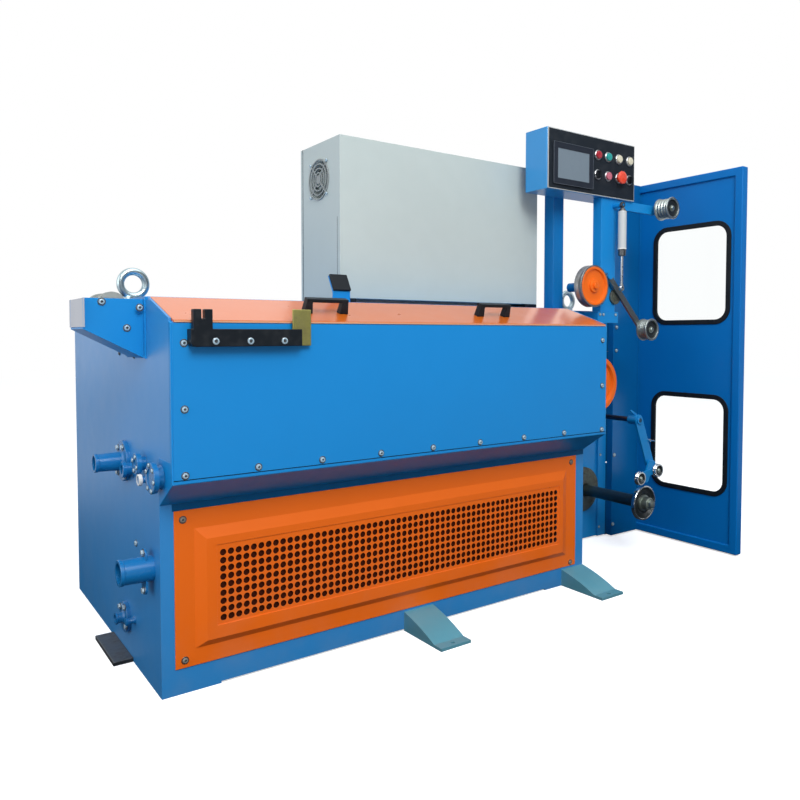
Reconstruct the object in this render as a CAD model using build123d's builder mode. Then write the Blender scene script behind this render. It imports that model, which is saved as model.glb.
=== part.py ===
from build123d import *
import os
from math import atan2, cos, degrees, hypot, radians, sin, tan

# A wire drawing machine with its take-up, in millimetres. Places are given from the base's front
# left floor corner: X runs along the machine, Y to its back and Z up.

# Base and drawing housing
base_width = 1530
base_depth = 958
pad_height = 5
left_pad_width = 153
right_pad_width = 192
chamber_floor = 600
chamber_back = 300
deck_height = 995
deck_thickness = 10
housing_overhang = 100
chamfer_front_height = 548
chamfer_back_height = 481
panel_thickness = 12
rim_thickness = 6

# Sloping lid, its hinges, handles and rest
lid_fall = 68
lid_slope = 18.6
lid_thickness = 6
lid_seat_gap = 0.3
lid_edge_gap = 1
deck_front = 97
hinge_setback = 11
hinge_drop = 5
hinge_radius = 4
hinge_leaf = 3
lid_edge_setback = 6
hinge_length = 80
hinge_share = 30
hinge_play = 0.5
hinge_end_distance = 200
lid_open_angle = 138
handle_spacing = 610
handle_shift = 16
handle_width = 128
handle_height = 41
handle_leg = 15
handle_bar = 9
handle_depth = 20
handle_foot = 14
handle_foot_height = 7
handle_setback = 114
rest_width = 60
rest_left = 560
rest_sheet = 6
rest_bend_height = 42
rest_pad_length = 56
rest_pad_thickness = 8
rest_clearance = 3

# Perforated front cover
cover_left = 34
cover_right = 1488
cover_bottom = 66
cover_top = 463
cover_thickness = 3
cover_rim_left = 88
cover_rim_bottom = 126
cover_rim_top = 410
cover_rim_width = 24
cover_rim_height = 6
vent_left = 145
vent_right = 1385
vent_bottom = 165
vent_top = 355
vent_depth = 24

# Feet
foot_width = 110
foot_reach = 183
foot_height = 58
foot_toe_height = 9
foot_toe_length = 34
foot_hole = 14
foot_spacing = 690
end_foot_reach = 53
end_foot_front = 255
end_foot_back = 470
end_foot_height = 12

# Wire inlet on the left end
inlet_reach = 145
inlet_front = 105
inlet_back = 255
inlet_drop = 7
inlet_outer_height = 76
inlet_inner_height = 150
inlet_sheet = 4
inlet_flange = 14
sheave_place = 75
sheave_drop = 18
sheave_radius = 35
sheave_core = 27
sheave_width = 26
sheave_axle = 8
running_gap = 0.05
side_gap = 0.3
sheave_side_play = 4

# Lifting eyes
eye_left_place = 32
eye_right_place = 325
eye_left_depth = 325
eye_right_setback = 30
eye_plate_size = 52
eye_plate_height = 12
eye_ring_radius = 34.5
eye_bar_radius = 10.5
eye_collar_radius = 23
eye_collar_height = 9

# Wire guide bar on the front
bar_left = 39
bar_right = 324
bar_drop = 83
bar_height = 42
bar_depth = 30
bar_block_width = 46
bar_block_height = 46
bar_block_depth = 18
bar_slot_width = 8
bar_slot_depth = 22
bar_corner = 12
brass_left = 304
brass_right = 356
brass_rise = 50
brass_thickness = 5
brass_gap = 12

# Pipe fittings on the left end
supply_radius = 24.5
supply_reach = 84
supply_depth = 304
supply_height = 550
supply_flange_radius = 56
flange_thickness = 12
return_radius = 18
return_reach = 30
return_depth = 233
return_height = 538
outlet_radius = 28
outlet_reach = 82
outlet_depth = 70
outlet_height = 305
outlet_flange_height = 116
outlet_flange_width = 40
flange_stand = 14
drain_radius = 42
drain_depth = 310
drain_place_height = 110
drain_stub_radius = 14
drain_stub_reach = 34
middle_port_depth = 118
middle_port_height = 570
middle_port_radius = 18
middle_flange_radius = 27
front_port_depth = -14
front_port_height = 554
front_port_radius = 24
front_flange_radius = 38
ring_port_depth = 95
ring_port_height = 532
ring_port_radius = 17
ring_stub_radius = 9
ring_port_reach = 26

# Electrical cabinet
cabinet_right_margin = 30
cabinet_width = 867
cabinet_front = 210
cabinet_depth = 248
cabinet_foot_height = 18
cabinet_foot_width = 60
cabinet_height = 510
door_seam = 2
door_thickness = 13
fan_depth = 343
fan_rise = 391
fan_radius = 60
fan_recess = 40
fan_hub_radius = 22
fan_blade_radius = 54
fan_blade_count = 7
fan_blade_pitch = 35
fan_axle = 5
fan_guard_radius = 66
fan_guard_wire = 4
fan_guard_pitch = 14

# Take-up frame, shelf and columns
takeup_width = 541
takeup_front = 348
takeup_drop = 10
takeup_foot_setback = 60
takeup_foot_depth = 120
edge_strip_width = 51
edge_strip_thickness = 10
shelf_width = 250
shelf_front = 120
shelf_step = 4
shelf_height = 44
pedestal_left = 133
pedestal_front = 50
pedestal_height = 43
left_column_place = 9
left_column_width = 54
left_column_depth = 48
right_column_place = 159
right_column_width = 83
right_column_depth = 41

# Console
console_overhang = 144
console_width = 480
console_front = 52
console_depth = 110
console_rise = 431
console_height = 217
console_corner = 6
fascia_margin = 2
column_setback = 8
fascia_thickness = 3
screen_inset = 26
screen_width = 207
screen_lift = 21
screen_height = 146
screen_thickness = 6
screen_border = 20
button_columns = (272, 330, 391, 454)
upper_button_drop = 64
lower_button_lift = 81
bezel_radius = 15
bezel_thickness = 4
button_radius = 11
button_length = 9
selector_width = 8
selector_length = 16
stop_radius = 20
stop_length = 26

# Guide wheel and its arbor
wheel_offset = 76
wheel_rise = 88
wheel_radius = 77
wheel_front = 17
wheel_width = 35
wheel_dish = 10
wheel_rim = 8
wheel_groove = 5
wheel_boss_radius = 24
arbor_radius = 17
arbor_tip_radius = 9
arbor_tip_length = 26
arbor_length = 88

# Dancer arm and its damper
dancer_offset = 25
dancer_drop_below_console = 296
dancer_reach = 205
dancer_drop = 203
dancer_arm_width = 24
dancer_arm_thickness = 10
dancer_hub_radius = 22
dancer_boss_length = 10
dancer_pin_radius = 8
roller_radius = 43
roller_core = 36
roller_length = 44
upper_roller_length = 60
roller_recess = 9
roller_hub = 15
roller_dish = 32
roller_rim = 5
roller_groove_count = 3
roller_bore = 8
damper_top_drop = 26
damper_plane = 20
damper_pin_distance = 65
damper_pin_radius = 4
damper_eye_play = 3
damper_eye_wall = 4
damper_eye_thickness = 10
damper_barrel_radius = 15.5
damper_barrel_top = 24
damper_barrel_length = 145
damper_cap_radius = 14
damper_boss_radius = 10
damper_cap_length = 24
damper_rod_radius = 4
damper_rod_hidden = 70
upper_arm_reach = 248
upper_arm_height = 35
upper_arm_thickness = 15

# Take-up wheel and spindle
capstan_offset = 140
capstan_rise = 140
capstan_radius = 110
capstan_front = 140
capstan_width = 60
capstan_dish = 32
capstan_rim = 12
capstan_shaft_radius = 22
capstan_bearing_radius = 60
bearing_thickness = 25
spindle_margin = 149
spindle_height = 226
spindle_bearing_radius = 96
spindle_radius = 28
spindle_flange_radius = 69
spindle_flange_front = 20
spindle_flange_thickness = 14
spindle_hub_radius = 30
spindle_hub_length = 22
spindle_nut_size = 46
spindle_nut_length = 22

# Wire traverse
traverse_offset = 46
traverse_rise = 335
traverse_rod_radius = 10
carriage_radius = 22
carriage_length = 40
carriage_arm_front = -5
carriage_arm_thickness = 8
carriage_arm_width = 30
fork_offset = 14
fork_rise = 159
upper_guide_offset = 31
upper_guide_rise = 134
lower_guide_offset = 80
lower_guide_rise = 114
guide_radius = 26
guide_width = 17
guide_pin_radius = 5
travel_length = 240

# Side guard
guard_gap = 5
guard_return_width = 173
guard_return_thickness = 31
guard_thickness = 37
guard_front = 175
guard_bottom = 5
guard_head = 221
guard_recess = 9
guard_border = 34
guard_back = 338
window_inset = 58
window_depth = 319
window_spacing = 331
upper_window_height = 384
lower_window_bottom = 249
lower_window_height = 380
window_corner = 60
seal_width = 20
seal_lip = 10
seal_thickness = 4
pane_thickness = 4
guard_hinge_radius = 5
guard_hinge_gap = 6
guard_hinge_leaf = 2
guard_hinge_leaf_width = 30
guard_hinge_count = 3

# The origin lies on the floor under the middle of the whole machine
right_reach = base_width + takeup_width + guard_gap + guard_return_width + guard_thickness
body_left = -(right_reach - inlet_reach) / 2
body_front = -(base_depth - foot_reach) / 2
takeup_left = base_width
takeup_right = takeup_left + takeup_width
lid_front_height = deck_height - lid_fall
takeup_height = deck_height - takeup_drop
shelf_top = takeup_height + shelf_step
pedestal_top = takeup_height
console_left = takeup_left - console_overhang
console_right = console_left + console_width
console_bottom = pedestal_top + console_rise
console_top = console_bottom + console_height


def front_plane(y):
    return Plane(origin=(body_left, body_front + y, 0), x_dir=(1, 0, 0), z_dir=(0, -1, 0))


def side_plane(x):
    return Plane(origin=(body_left + x, body_front, 0), x_dir=(0, 1, 0), z_dir=(1, 0, 0))


def place(x, y, z):
    return (body_left + x, body_front + y, z)


def block(x, y, z, mode=Mode.ADD):
    with Locations(place(sum(x) / 2, sum(y) / 2, sum(z) / 2)):
        Box(x[1] - x[0], y[1] - y[0], z[1] - z[0], mode=mode)


def rod_along_x(x, y, z, radius, mode=Mode.ADD):
    with Locations(place(sum(x) / 2, y, z)):
        Cylinder(radius, x[1] - x[0], rotation=(0, 90, 0), mode=mode)


def rod_along_y(x, y, z, radius, mode=Mode.ADD):
    with Locations(place(x, sum(y) / 2, z)):
        Cylinder(radius, y[1] - y[0], rotation=(90, 0, 0), mode=mode)


def rod_along_z(x, y, z, radius, mode=Mode.ADD):
    with Locations(place(x, y, sum(z) / 2)):
        Cylinder(radius, z[1] - z[0], mode=mode)


def prism(plane, points, length, mode=Mode.ADD):
    with BuildSketch(plane) as outline:
        with BuildLine():
            Polyline(*points, close=True)
        make_face()
    extrude(outline.sketch, amount=length, mode=mode)


def turned(x, z, points, mode=Mode.ADD):
    # Points are (radius, distance from the front), turned about an axis along Y
    axis_plane = Plane(origin=place(x, 0, z), x_dir=(1, 0, 0), z_dir=(0, 0, 1))
    with BuildSketch(axis_plane) as outline:
        with BuildLine():
            Polyline(*points, close=True)
        make_face()
    revolve(outline.sketch, axis=Axis(place(x, 0, z), (0, 1, 0)), mode=mode)


def grooved_roller(x, z, y, rim_radius, core_radius, bore, grooves, rim):
    # A roller with V grooves between its rims, from y[0] to y[1]
    pitch = (y[1] - y[0] - rim) / grooves
    profile = [(bore, y[0]), (rim_radius, y[0])]
    for number in range(grooves):
        start = y[0] + number * pitch
        profile += [(rim_radius, start + rim), (core_radius, start + (rim + pitch) / 2)]
        profile += [(rim_radius, start + pitch)]
    profile += [(rim_radius, y[1]), (bore, y[1])]
    turned(x, z, profile)


def roller_dish_cut(x, z, front):
    # The dish in a roller's front face, round its hub
    turned(
        x,
        z,
        [
            (roller_hub, front),
            (roller_dish, front),
            (roller_dish, front + roller_recess),
            (roller_hub, front + roller_recess),
        ],
        Mode.SUBTRACT,
    )


# Housing

deck_under = deck_height - deck_thickness
slope_rise = tan(radians(lid_slope))


def slope_height(y):
    return lid_front_height + (y + housing_overhang) * slope_rise


with BuildPart() as lower_housing:
    block((0, base_width), (0, base_depth), (pad_height, chamber_floor))
    block((0, left_pad_width), (0, base_depth), (0, pad_height))
    block((base_width - right_pad_width, base_width), (0, base_depth), (0, pad_height))
    block((vent_left, vent_right), (0, vent_depth), (vent_bottom, vent_top), Mode.SUBTRACT)

panel_back = panel_thickness - housing_overhang
with BuildPart() as front_panel:
    prism(
        side_plane(0),
        [
            (-housing_overhang, slope_height(-housing_overhang)),
            (-housing_overhang, chamfer_front_height),
            (0, chamfer_back_height),
            (0, chamber_floor),
            (panel_back, chamber_floor),
            (panel_back, slope_height(panel_back)),
        ],
        base_width,
    )

deck_meets_slope = (deck_under - lid_front_height) / slope_rise - housing_overhang
end_outline = [
    (panel_back, chamber_floor),
    (chamber_back, chamber_floor),
    (chamber_back, deck_under),
    (deck_meets_slope, deck_under),
    (panel_back, slope_height(panel_back)),
]
rim_rise = (lid_thickness + lid_seat_gap) / cos(radians(lid_slope))
rim_outline = [
    (panel_back, slope_height(panel_back)),
    (deck_meets_slope, deck_under),
    (deck_meets_slope, deck_under + rim_rise),
    (panel_back, slope_height(panel_back) + rim_rise),
]
with BuildPart() as end_plates:
    prism(side_plane(0), end_outline, panel_thickness)
    prism(side_plane(0), rim_outline, rim_thickness)
    prism(side_plane(base_width - panel_thickness), end_outline, panel_thickness)
    prism(side_plane(base_width - rim_thickness), rim_outline, rim_thickness)

with BuildPart() as rear_housing:
    block((0, base_width), (chamber_back, base_depth), (chamber_floor, deck_under))

with BuildPart() as deck:
    block((0, base_width), (deck_front, base_depth), (deck_under, deck_height))

# Lid with its hinge knuckles

lid_left = rim_thickness + lid_edge_gap
lid_right = base_width - rim_thickness - lid_edge_gap
lid_normal = (-sin(radians(lid_slope)), cos(radians(lid_slope)))
hinge_y = deck_front - hinge_setback
hinge_z = deck_height - hinge_drop
lid_back = hinge_y - lid_edge_setback
hinge_centres = (hinge_end_distance, base_width / 2, base_width - hinge_end_distance)


def on_lid(y, height):
    # A point at a height above the lid's underside, square to its slope
    rise = lid_seat_gap + height
    return (y + rise * lid_normal[0], slope_height(y) + rise * lid_normal[1])


strap_half = hinge_share / 2 - hinge_play
with BuildPart() as lid:
    prism(
        side_plane(lid_left),
        [
            on_lid(-housing_overhang, 0),
            on_lid(lid_back, 0),
            on_lid(lid_back, lid_thickness),
            on_lid(-housing_overhang, lid_thickness),
        ],
        lid_right - lid_left,
    )
    for centre in hinge_centres:
        rod_along_x((centre - strap_half, centre + strap_half), hinge_y, hinge_z, hinge_radius)
        prism(
            side_plane(centre - strap_half),
            [
                on_lid(lid_back, 0),
                (hinge_y, hinge_z - hinge_radius / 2),
                (hinge_y, hinge_z + hinge_radius / 2),
                on_lid(lid_back, lid_thickness),
            ],
            2 * strap_half,
        )

guard_left = takeup_right + guard_gap
guard_hinge_y = guard_back + guard_hinge_radius
guard_hinge_pitch = takeup_height / guard_hinge_count
guard_hinge_half = (guard_hinge_pitch - guard_hinge_gap) / 2
guard_hinge_heights = [(number + 0.5) * guard_hinge_pitch for number in range(guard_hinge_count)]
with BuildPart() as fixed_hinges:
    for centre in hinge_centres:
        half = hinge_length / 2
        for start, end in ((-half, -hinge_share / 2), (hinge_share / 2, half)):
            knuckle = (centre + start, centre + end)
            leaf_bottom = hinge_z - hinge_radius
            rod_along_x(knuckle, hinge_y, hinge_z, hinge_radius)
            block(knuckle, (hinge_y, deck_front), (leaf_bottom, leaf_bottom + hinge_leaf))
    for centre in guard_hinge_heights:
        knuckle = (centre - guard_hinge_half, centre - hinge_play / 2)
        rod_along_z(guard_left, guard_hinge_y, knuckle, guard_hinge_radius)
        block(
            (takeup_right, takeup_right + guard_hinge_leaf),
            (guard_hinge_y, guard_hinge_y + guard_hinge_leaf_width),
            knuckle,
        )

handle_y = hinge_y - handle_setback
handle_middle = base_width / 2 - handle_shift
handle_centres = (handle_middle - handle_spacing / 2, handle_middle + handle_spacing / 2)
with BuildPart() as lid_handles:
    for centre in handle_centres:
        seat = place(centre, *on_lid(handle_y, lid_thickness))
        handle_plane = Plane(origin=seat, x_dir=(1, 0, 0), z_dir=(0, -lid_normal[1], lid_normal[0]))
        with BuildSketch(handle_plane) as handle_outline:
            with Locations((0, handle_height / 2)):
                Rectangle(handle_width, handle_height)
            fillet(handle_outline.vertices().group_by(Axis.Z)[-1], radius=handle_bar / 2)
            with Locations((0, (handle_height - handle_bar) / 2)):
                Rectangle(
                    handle_width - 2 * handle_leg, handle_height - handle_bar, mode=Mode.SUBTRACT
                )
            for side in (-1, 1):
                with Locations((side * (handle_width + handle_foot) / 2, handle_foot_height / 2)):
                    Rectangle(handle_foot, handle_foot_height)
        extrude(handle_outline.sketch, amount=handle_depth / 2, both=True)

# The rest leans as the open lid does, a little behind the lid's outer face
open_lean = radians(lid_open_angle - lid_slope - 90)
hinge_above_face = (hinge_z - slope_height(hinge_y)) * cos(radians(lid_slope)) - lid_thickness - lid_seat_gap


def on_rest(height, behind):
    along = (height - hinge_z) / cos(open_lean)
    across = rest_clearance + behind - hinge_above_face
    return (
        hinge_y + along * sin(open_lean) + across * cos(open_lean),
        height - across * sin(open_lean),
    )


bend_z = deck_height + rest_bend_height
rest_top_z = bend_z + rest_pad_length * cos(open_lean)
rest_y = on_rest(bend_z, rest_pad_thickness)[0]
with BuildPart() as lid_rest:
    prism(
        side_plane(rest_left),
        [
            (rest_y, deck_height),
            (rest_y + rest_width, deck_height),
            (rest_y + rest_width, deck_height + rest_sheet),
            (rest_y + rest_sheet, deck_height + rest_sheet),
            (rest_y + rest_sheet, on_rest(bend_z, rest_pad_thickness + rest_sheet)[1]),
            on_rest(rest_top_z, rest_pad_thickness + rest_sheet),
            on_rest(rest_top_z, rest_pad_thickness),
            on_rest(bend_z, rest_pad_thickness),
        ],
        rest_width,
    )

with BuildPart() as rest_pad:
    prism(
        side_plane(rest_left),
        [
            on_rest(bend_z, 0),
            on_rest(bend_z, rest_pad_thickness),
            on_rest(rest_top_z, rest_pad_thickness),
            on_rest(rest_top_z, 0),
        ],
        rest_width,
    )

# Perforated cover: a sheet with a raised frame round its vent field

cover_middle = (cover_left + cover_right) / 2
rim_half = cover_middle - cover_rim_left
rim_centre_z = (cover_rim_bottom + cover_rim_top) / 2
rim_size_z = cover_rim_top - cover_rim_bottom
with BuildPart() as vent_cover:
    block((cover_left, cover_right), (-cover_thickness, 0), (cover_bottom, cover_top))
    with BuildSketch(front_plane(-cover_thickness)) as cover_rim:
        with Locations((cover_middle, rim_centre_z)):
            Rectangle(2 * rim_half, rim_size_z)
            Rectangle(
                2 * (rim_half - cover_rim_width), rim_size_z - 2 * cover_rim_width, mode=Mode.SUBTRACT
            )
    extrude(cover_rim.sketch, amount=cover_rim_height)

# Feet

foot_right = base_width - foot_width / 2
with BuildPart() as front_feet:
    for centre in (foot_right - foot_spacing, foot_right):
        with BuildSketch(side_plane(centre - foot_width / 2)) as foot_outline:
            with BuildLine():
                toe = (foot_toe_length - foot_reach, foot_toe_height)
                Polyline(toe, (-foot_reach, foot_toe_height), (-foot_reach, 0), (0, 0), (0, foot_height))
                middle = ((foot_toe_length - foot_reach) / 2, foot_height * 2 / 3)
                ThreePointArc((0, foot_height), middle, toe)
            make_face()
        extrude(foot_outline.sketch, amount=foot_width)
        toe_middle = foot_toe_length / 2 - foot_reach
        rod_along_z(centre, toe_middle, (0, foot_toe_height), foot_hole / 2, Mode.SUBTRACT)

with BuildPart() as end_foot:
    block((-end_foot_reach, 0), (end_foot_front, end_foot_back), (0, end_foot_height))

# Wire inlet: a tapered trough with a pair of sheaves on one axle

inlet_top = deck_height - inlet_drop
inlet_outer_bottom = inlet_top - inlet_outer_height
inlet_inner_bottom = inlet_top - inlet_inner_height
sheave_height = inlet_top - sheave_drop
sheave_span = (inlet_front + inlet_sheet + sheave_side_play, inlet_back - inlet_sheet - sheave_side_play)
with BuildPart() as inlet_bracket:
    prism(
        front_plane(inlet_back),
        [
            (-inlet_reach, inlet_top),
            (-inlet_reach, inlet_outer_bottom),
            (0, inlet_inner_bottom),
            (0, inlet_top),
        ],
        inlet_back - inlet_front,
    )
    prism(
        front_plane(inlet_back - inlet_sheet),
        [
            (-inlet_reach, inlet_top),
            (-inlet_reach, inlet_outer_bottom + inlet_sheet),
            (-inlet_sheet, inlet_inner_bottom + 2 * inlet_sheet),
            (-inlet_sheet, inlet_top),
        ],
        inlet_back - inlet_front - 2 * inlet_sheet,
        Mode.SUBTRACT,
    )
    rod_along_y(
        -sheave_place,
        (inlet_front + inlet_sheet, inlet_back - inlet_sheet),
        sheave_height,
        sheave_axle,
    )
    for flange_front in (inlet_front - inlet_flange, inlet_back):
        block((-inlet_sheet, 0), (flange_front, flange_front + inlet_flange), (inlet_inner_bottom, inlet_top))

with BuildPart() as inlet_sheaves:
    bore = sheave_axle + running_gap
    front_edge, back_edge = sheave_span
    half_groove = sheave_width / 2
    sleeve = (sheave_core + sheave_axle) / 2
    turned(
        -sheave_place,
        sheave_height,
        [
            (bore, front_edge),
            (sheave_radius, front_edge),
            (sheave_core, front_edge + half_groove),
            (sheave_radius, front_edge + sheave_width),
            (sleeve, front_edge + sheave_width),
            (sleeve, back_edge - sheave_width),
            (sheave_radius, back_edge - sheave_width),
            (sheave_core, back_edge - half_groove),
            (sheave_radius, back_edge),
            (bore, back_edge),
        ],
    )

# Lifting eyes on the deck

right_eye_x = takeup_left + eye_right_place
right_eye_y = takeup_front + eye_right_setback
eye_plate_top = takeup_height + eye_plate_height
eye_plate_half = eye_plate_size / 2
with BuildPart() as lifting_eyes:
    for eye_x, eye_y, seat in (
        (eye_left_place, eye_left_depth, deck_height),
        (right_eye_x, right_eye_y, eye_plate_top),
    ):
        rod_along_z(eye_x, eye_y, (seat, seat + eye_collar_height), eye_collar_radius)
        with Locations(place(eye_x, eye_y, seat + eye_ring_radius + eye_bar_radius)):
            Torus(eye_ring_radius, eye_bar_radius, rotation=(90, 0, 0))
    block(
        (right_eye_x - eye_plate_half, right_eye_x + eye_plate_half),
        (right_eye_y - eye_plate_half, right_eye_y + eye_plate_half),
        (takeup_height, eye_plate_top),
    )

# Wire guide bar

bar_front = -housing_overhang - bar_depth
bar_top = deck_height - bar_drop
bar_bottom = bar_top - bar_height
brass_back = -housing_overhang - brass_gap
brass_front = brass_back - brass_thickness
slot_block_left = bar_left + panel_thickness / 2
slot_block_right = slot_block_left + bar_block_width
slot_middle = (slot_block_left + slot_block_right) / 2
with BuildPart() as guide_bar:
    with BuildSketch(front_plane(-housing_overhang)) as bar_outline:
        with Locations(((bar_left + brass_left) / 2, (bar_bottom + bar_top) / 2)):
            Rectangle(brass_left - bar_left, bar_top - bar_bottom)
        fillet(bar_outline.vertices().sort_by(Axis.X)[:2].sort_by(Axis.Z)[0], radius=bar_corner)
    extrude(bar_outline.sketch, amount=bar_depth)
    block(
        (slot_block_left, slot_block_right),
        (bar_front, bar_front + bar_block_depth),
        (bar_top, bar_top + bar_block_height),
    )
    block(
        (slot_middle - bar_slot_width / 2, slot_middle + bar_slot_width / 2),
        (bar_front, bar_front + bar_block_depth),
        (bar_top + bar_block_height - bar_slot_depth, bar_top + bar_block_height),
        Mode.SUBTRACT,
    )
    block((brass_left, bar_right), (bar_front, brass_front), (bar_bottom, bar_top))

with BuildPart() as brass_plate:
    block((brass_left, brass_right), (brass_front, brass_back), (bar_bottom, bar_top + brass_rise))

# Pipe fittings on the left end

with BuildPart() as pipe_fittings:
    rod_along_x((-flange_thickness, 0), supply_depth, supply_height, supply_flange_radius)
    rod_along_x((-supply_reach, 0), supply_depth, supply_height, supply_radius)
    rod_along_x(
        (-supply_reach, -flange_thickness), supply_depth, supply_height,
        supply_radius - flange_thickness / 2, Mode.SUBTRACT,
    )
    rod_along_x((-return_reach, 0), return_depth, return_height, return_radius)
    for port_y, port_z, neck, rim in (
        (middle_port_depth, middle_port_height, middle_port_radius, middle_flange_radius),
        (front_port_depth, front_port_height, front_port_radius, front_flange_radius),
    ):
        rod_along_x((-flange_stand, 0), port_y, port_z, neck)
        rod_along_x((-flange_stand - flange_thickness, -flange_stand), port_y, port_z, rim)
    ring_span = (flange_thickness - ring_port_reach, -flange_thickness / 2)
    rod_along_x((-ring_port_reach, 0), ring_port_depth, ring_port_height, ring_stub_radius)
    rod_along_x(ring_span, ring_port_depth, ring_port_height, ring_port_radius)
    block(
        (-flange_stand - flange_thickness, -flange_stand),
        (outlet_depth - outlet_flange_width / 2, outlet_depth + outlet_flange_width / 2),
        (outlet_height - outlet_flange_height / 2, outlet_height + outlet_flange_height / 2),
    )
    rod_along_x((-outlet_reach, 0), outlet_depth, outlet_height, outlet_radius)
    rod_along_x(
        (-outlet_reach, -flange_stand), outlet_depth, outlet_height,
        outlet_radius - flange_thickness / 2, Mode.SUBTRACT,
    )
    rod_along_x((-flange_thickness, 0), drain_depth, drain_place_height, drain_radius)
    rod_along_x((-drain_stub_reach, 0), drain_depth, drain_place_height, drain_stub_radius)

# Electrical cabinet with its fan

cabinet_right = base_width - cabinet_right_margin
cabinet_left = cabinet_right - cabinet_width
cabinet_back = cabinet_front + cabinet_depth
cabinet_bottom = deck_height + cabinet_foot_height
cabinet_top = cabinet_bottom + cabinet_height
fan_height = cabinet_bottom + fan_rise
with BuildPart() as cabinet_feet:
    for start in (cabinet_left, cabinet_right - cabinet_foot_width):
        foot_span = (start, start + cabinet_foot_width)
        block(foot_span, (cabinet_front, cabinet_back), (deck_height, cabinet_bottom))

motor_face = cabinet_left + fan_recess
with BuildPart() as cabinet_body:
    block((cabinet_left, cabinet_right), (cabinet_front, cabinet_back), (cabinet_bottom, cabinet_top))
    rod_along_x((cabinet_left, motor_face), fan_depth, fan_height, fan_radius, Mode.SUBTRACT)
    rod_along_x((cabinet_left + fan_axle, motor_face), fan_depth, fan_height, fan_axle)

with BuildPart() as cabinet_door:
    block(
        (cabinet_left, cabinet_right),
        (cabinet_back + door_seam, cabinet_back + door_seam + door_thickness),
        (cabinet_bottom, cabinet_top),
    )
    block(
        (cabinet_left + door_thickness, cabinet_right - door_thickness),
        (cabinet_back, cabinet_back + door_seam),
        (cabinet_bottom + door_thickness, cabinet_top - door_thickness),
    )

rotor_front = cabinet_left + 2 * fan_axle
rotor_back = motor_face - fan_axle
with BuildPart() as fan_rotor:
    rod_along_x((rotor_front, rotor_back), fan_depth, fan_height, fan_hub_radius)
    rotor_centre = place((rotor_front + rotor_back) / 2, fan_depth, fan_height)
    for number in range(fan_blade_count):
        turn = Location(rotor_centre) * Location((0, 0, 0), (number * 360 / fan_blade_count, 0, 0))
        blade_middle = (fan_hub_radius + fan_blade_radius) / 2
        with Locations(turn * Location((0, 0, blade_middle), (0, 0, fan_blade_pitch))):
            Box(2, fan_hub_radius, fan_blade_radius - fan_hub_radius + 6)
    rod_along_x((rotor_front, rotor_back), fan_depth, fan_height, fan_axle + running_gap, Mode.SUBTRACT)

with BuildPart() as fan_guard:
    guard_face = Plane(
        origin=place(cabinet_left, fan_depth, fan_height), x_dir=(0, -1, 0), z_dir=(-1, 0, 0)
    )
    with BuildSketch(guard_face) as guard_outline:
        for ring in range(4):
            ring_radius = fan_guard_radius - ring * fan_guard_pitch
            Circle(ring_radius)
            Circle(ring_radius - fan_guard_wire, mode=Mode.SUBTRACT)
        with Locations((0, 0)):
            Circle(fan_guard_radius - 4 * fan_guard_pitch + fan_guard_wire)
            for angle in (45, 135):
                Rectangle(2 * fan_guard_radius + 3 * fan_guard_wire, fan_guard_wire, rotation=angle)
    extrude(guard_outline.sketch, amount=fan_guard_wire)

# Take-up frame with its shelf and columns

with BuildPart() as takeup_frame:
    block((takeup_left, takeup_right), (takeup_front, base_depth), (pad_height, takeup_height))
    for start in (takeup_front + takeup_foot_setback, base_depth - takeup_foot_depth):
        block(
            (takeup_left + takeup_foot_setback, takeup_right - takeup_foot_setback),
            (start, start + takeup_foot_depth),
            (0, pad_height),
        )
    block(
        (takeup_right - edge_strip_width, takeup_right),
        (takeup_front - edge_strip_thickness, takeup_front),
        (pad_height, takeup_height),
    )

shelf_right = takeup_left + shelf_width
shelf_bottom = shelf_top - shelf_height
with BuildPart() as column_shelf:
    block((takeup_left, shelf_right), (shelf_front, takeup_front), (shelf_bottom, shelf_top))
    block(
        (takeup_left + pedestal_left, shelf_right),
        (pedestal_front, shelf_front),
        (pedestal_top - pedestal_height, pedestal_top),
    )

console_back = console_front + console_depth
left_column_left = takeup_left + left_column_place
left_column_right = left_column_left + left_column_width
with BuildPart() as left_column:
    block(
        (left_column_left, left_column_right),
        (console_back, console_back + left_column_depth),
        (shelf_top, console_top - left_column_depth),
    )

right_column_left = takeup_left + right_column_place
right_column_right = right_column_left + right_column_width
right_column_front = console_front + column_setback
with BuildPart() as right_column:
    block(
        (right_column_left, right_column_right),
        (right_column_front, right_column_front + right_column_depth),
        (pedestal_top, console_bottom),
    )

# Console

with BuildPart() as console_housing:
    block((console_left, console_right), (console_front, console_back), (console_bottom, console_top))
    fillet(console_housing.edges().filter_by(Axis.Z), radius=console_corner)

fascia_front = console_front - fascia_thickness
with BuildPart() as console_fascia:
    block(
        (console_left + fascia_margin, console_right),
        (fascia_front, console_front),
        (console_bottom + fascia_margin, console_top - fascia_margin),
    )

screen_front = fascia_front - screen_thickness
screen_left = console_left + screen_inset
screen_bottom = console_bottom + screen_lift
screen_span_x = (screen_left, screen_left + screen_width)
screen_span_z = (screen_bottom, screen_bottom + screen_height)
with BuildPart() as screen_bezel:
    block(screen_span_x, (screen_front, fascia_front), screen_span_z)
    block(
        (screen_span_x[0] + screen_border, screen_span_x[1] - screen_border),
        (screen_front, screen_front + screen_thickness / 2),
        (screen_span_z[0] + screen_border, screen_span_z[1] - screen_border),
        Mode.SUBTRACT,
    )

with BuildPart() as screen_glass:
    block(
        (screen_span_x[0] + screen_border, screen_span_x[1] - screen_border),
        (screen_front + screen_thickness / 4, screen_front + screen_thickness / 2),
        (screen_span_z[0] + screen_border, screen_span_z[1] - screen_border),
    )

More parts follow.
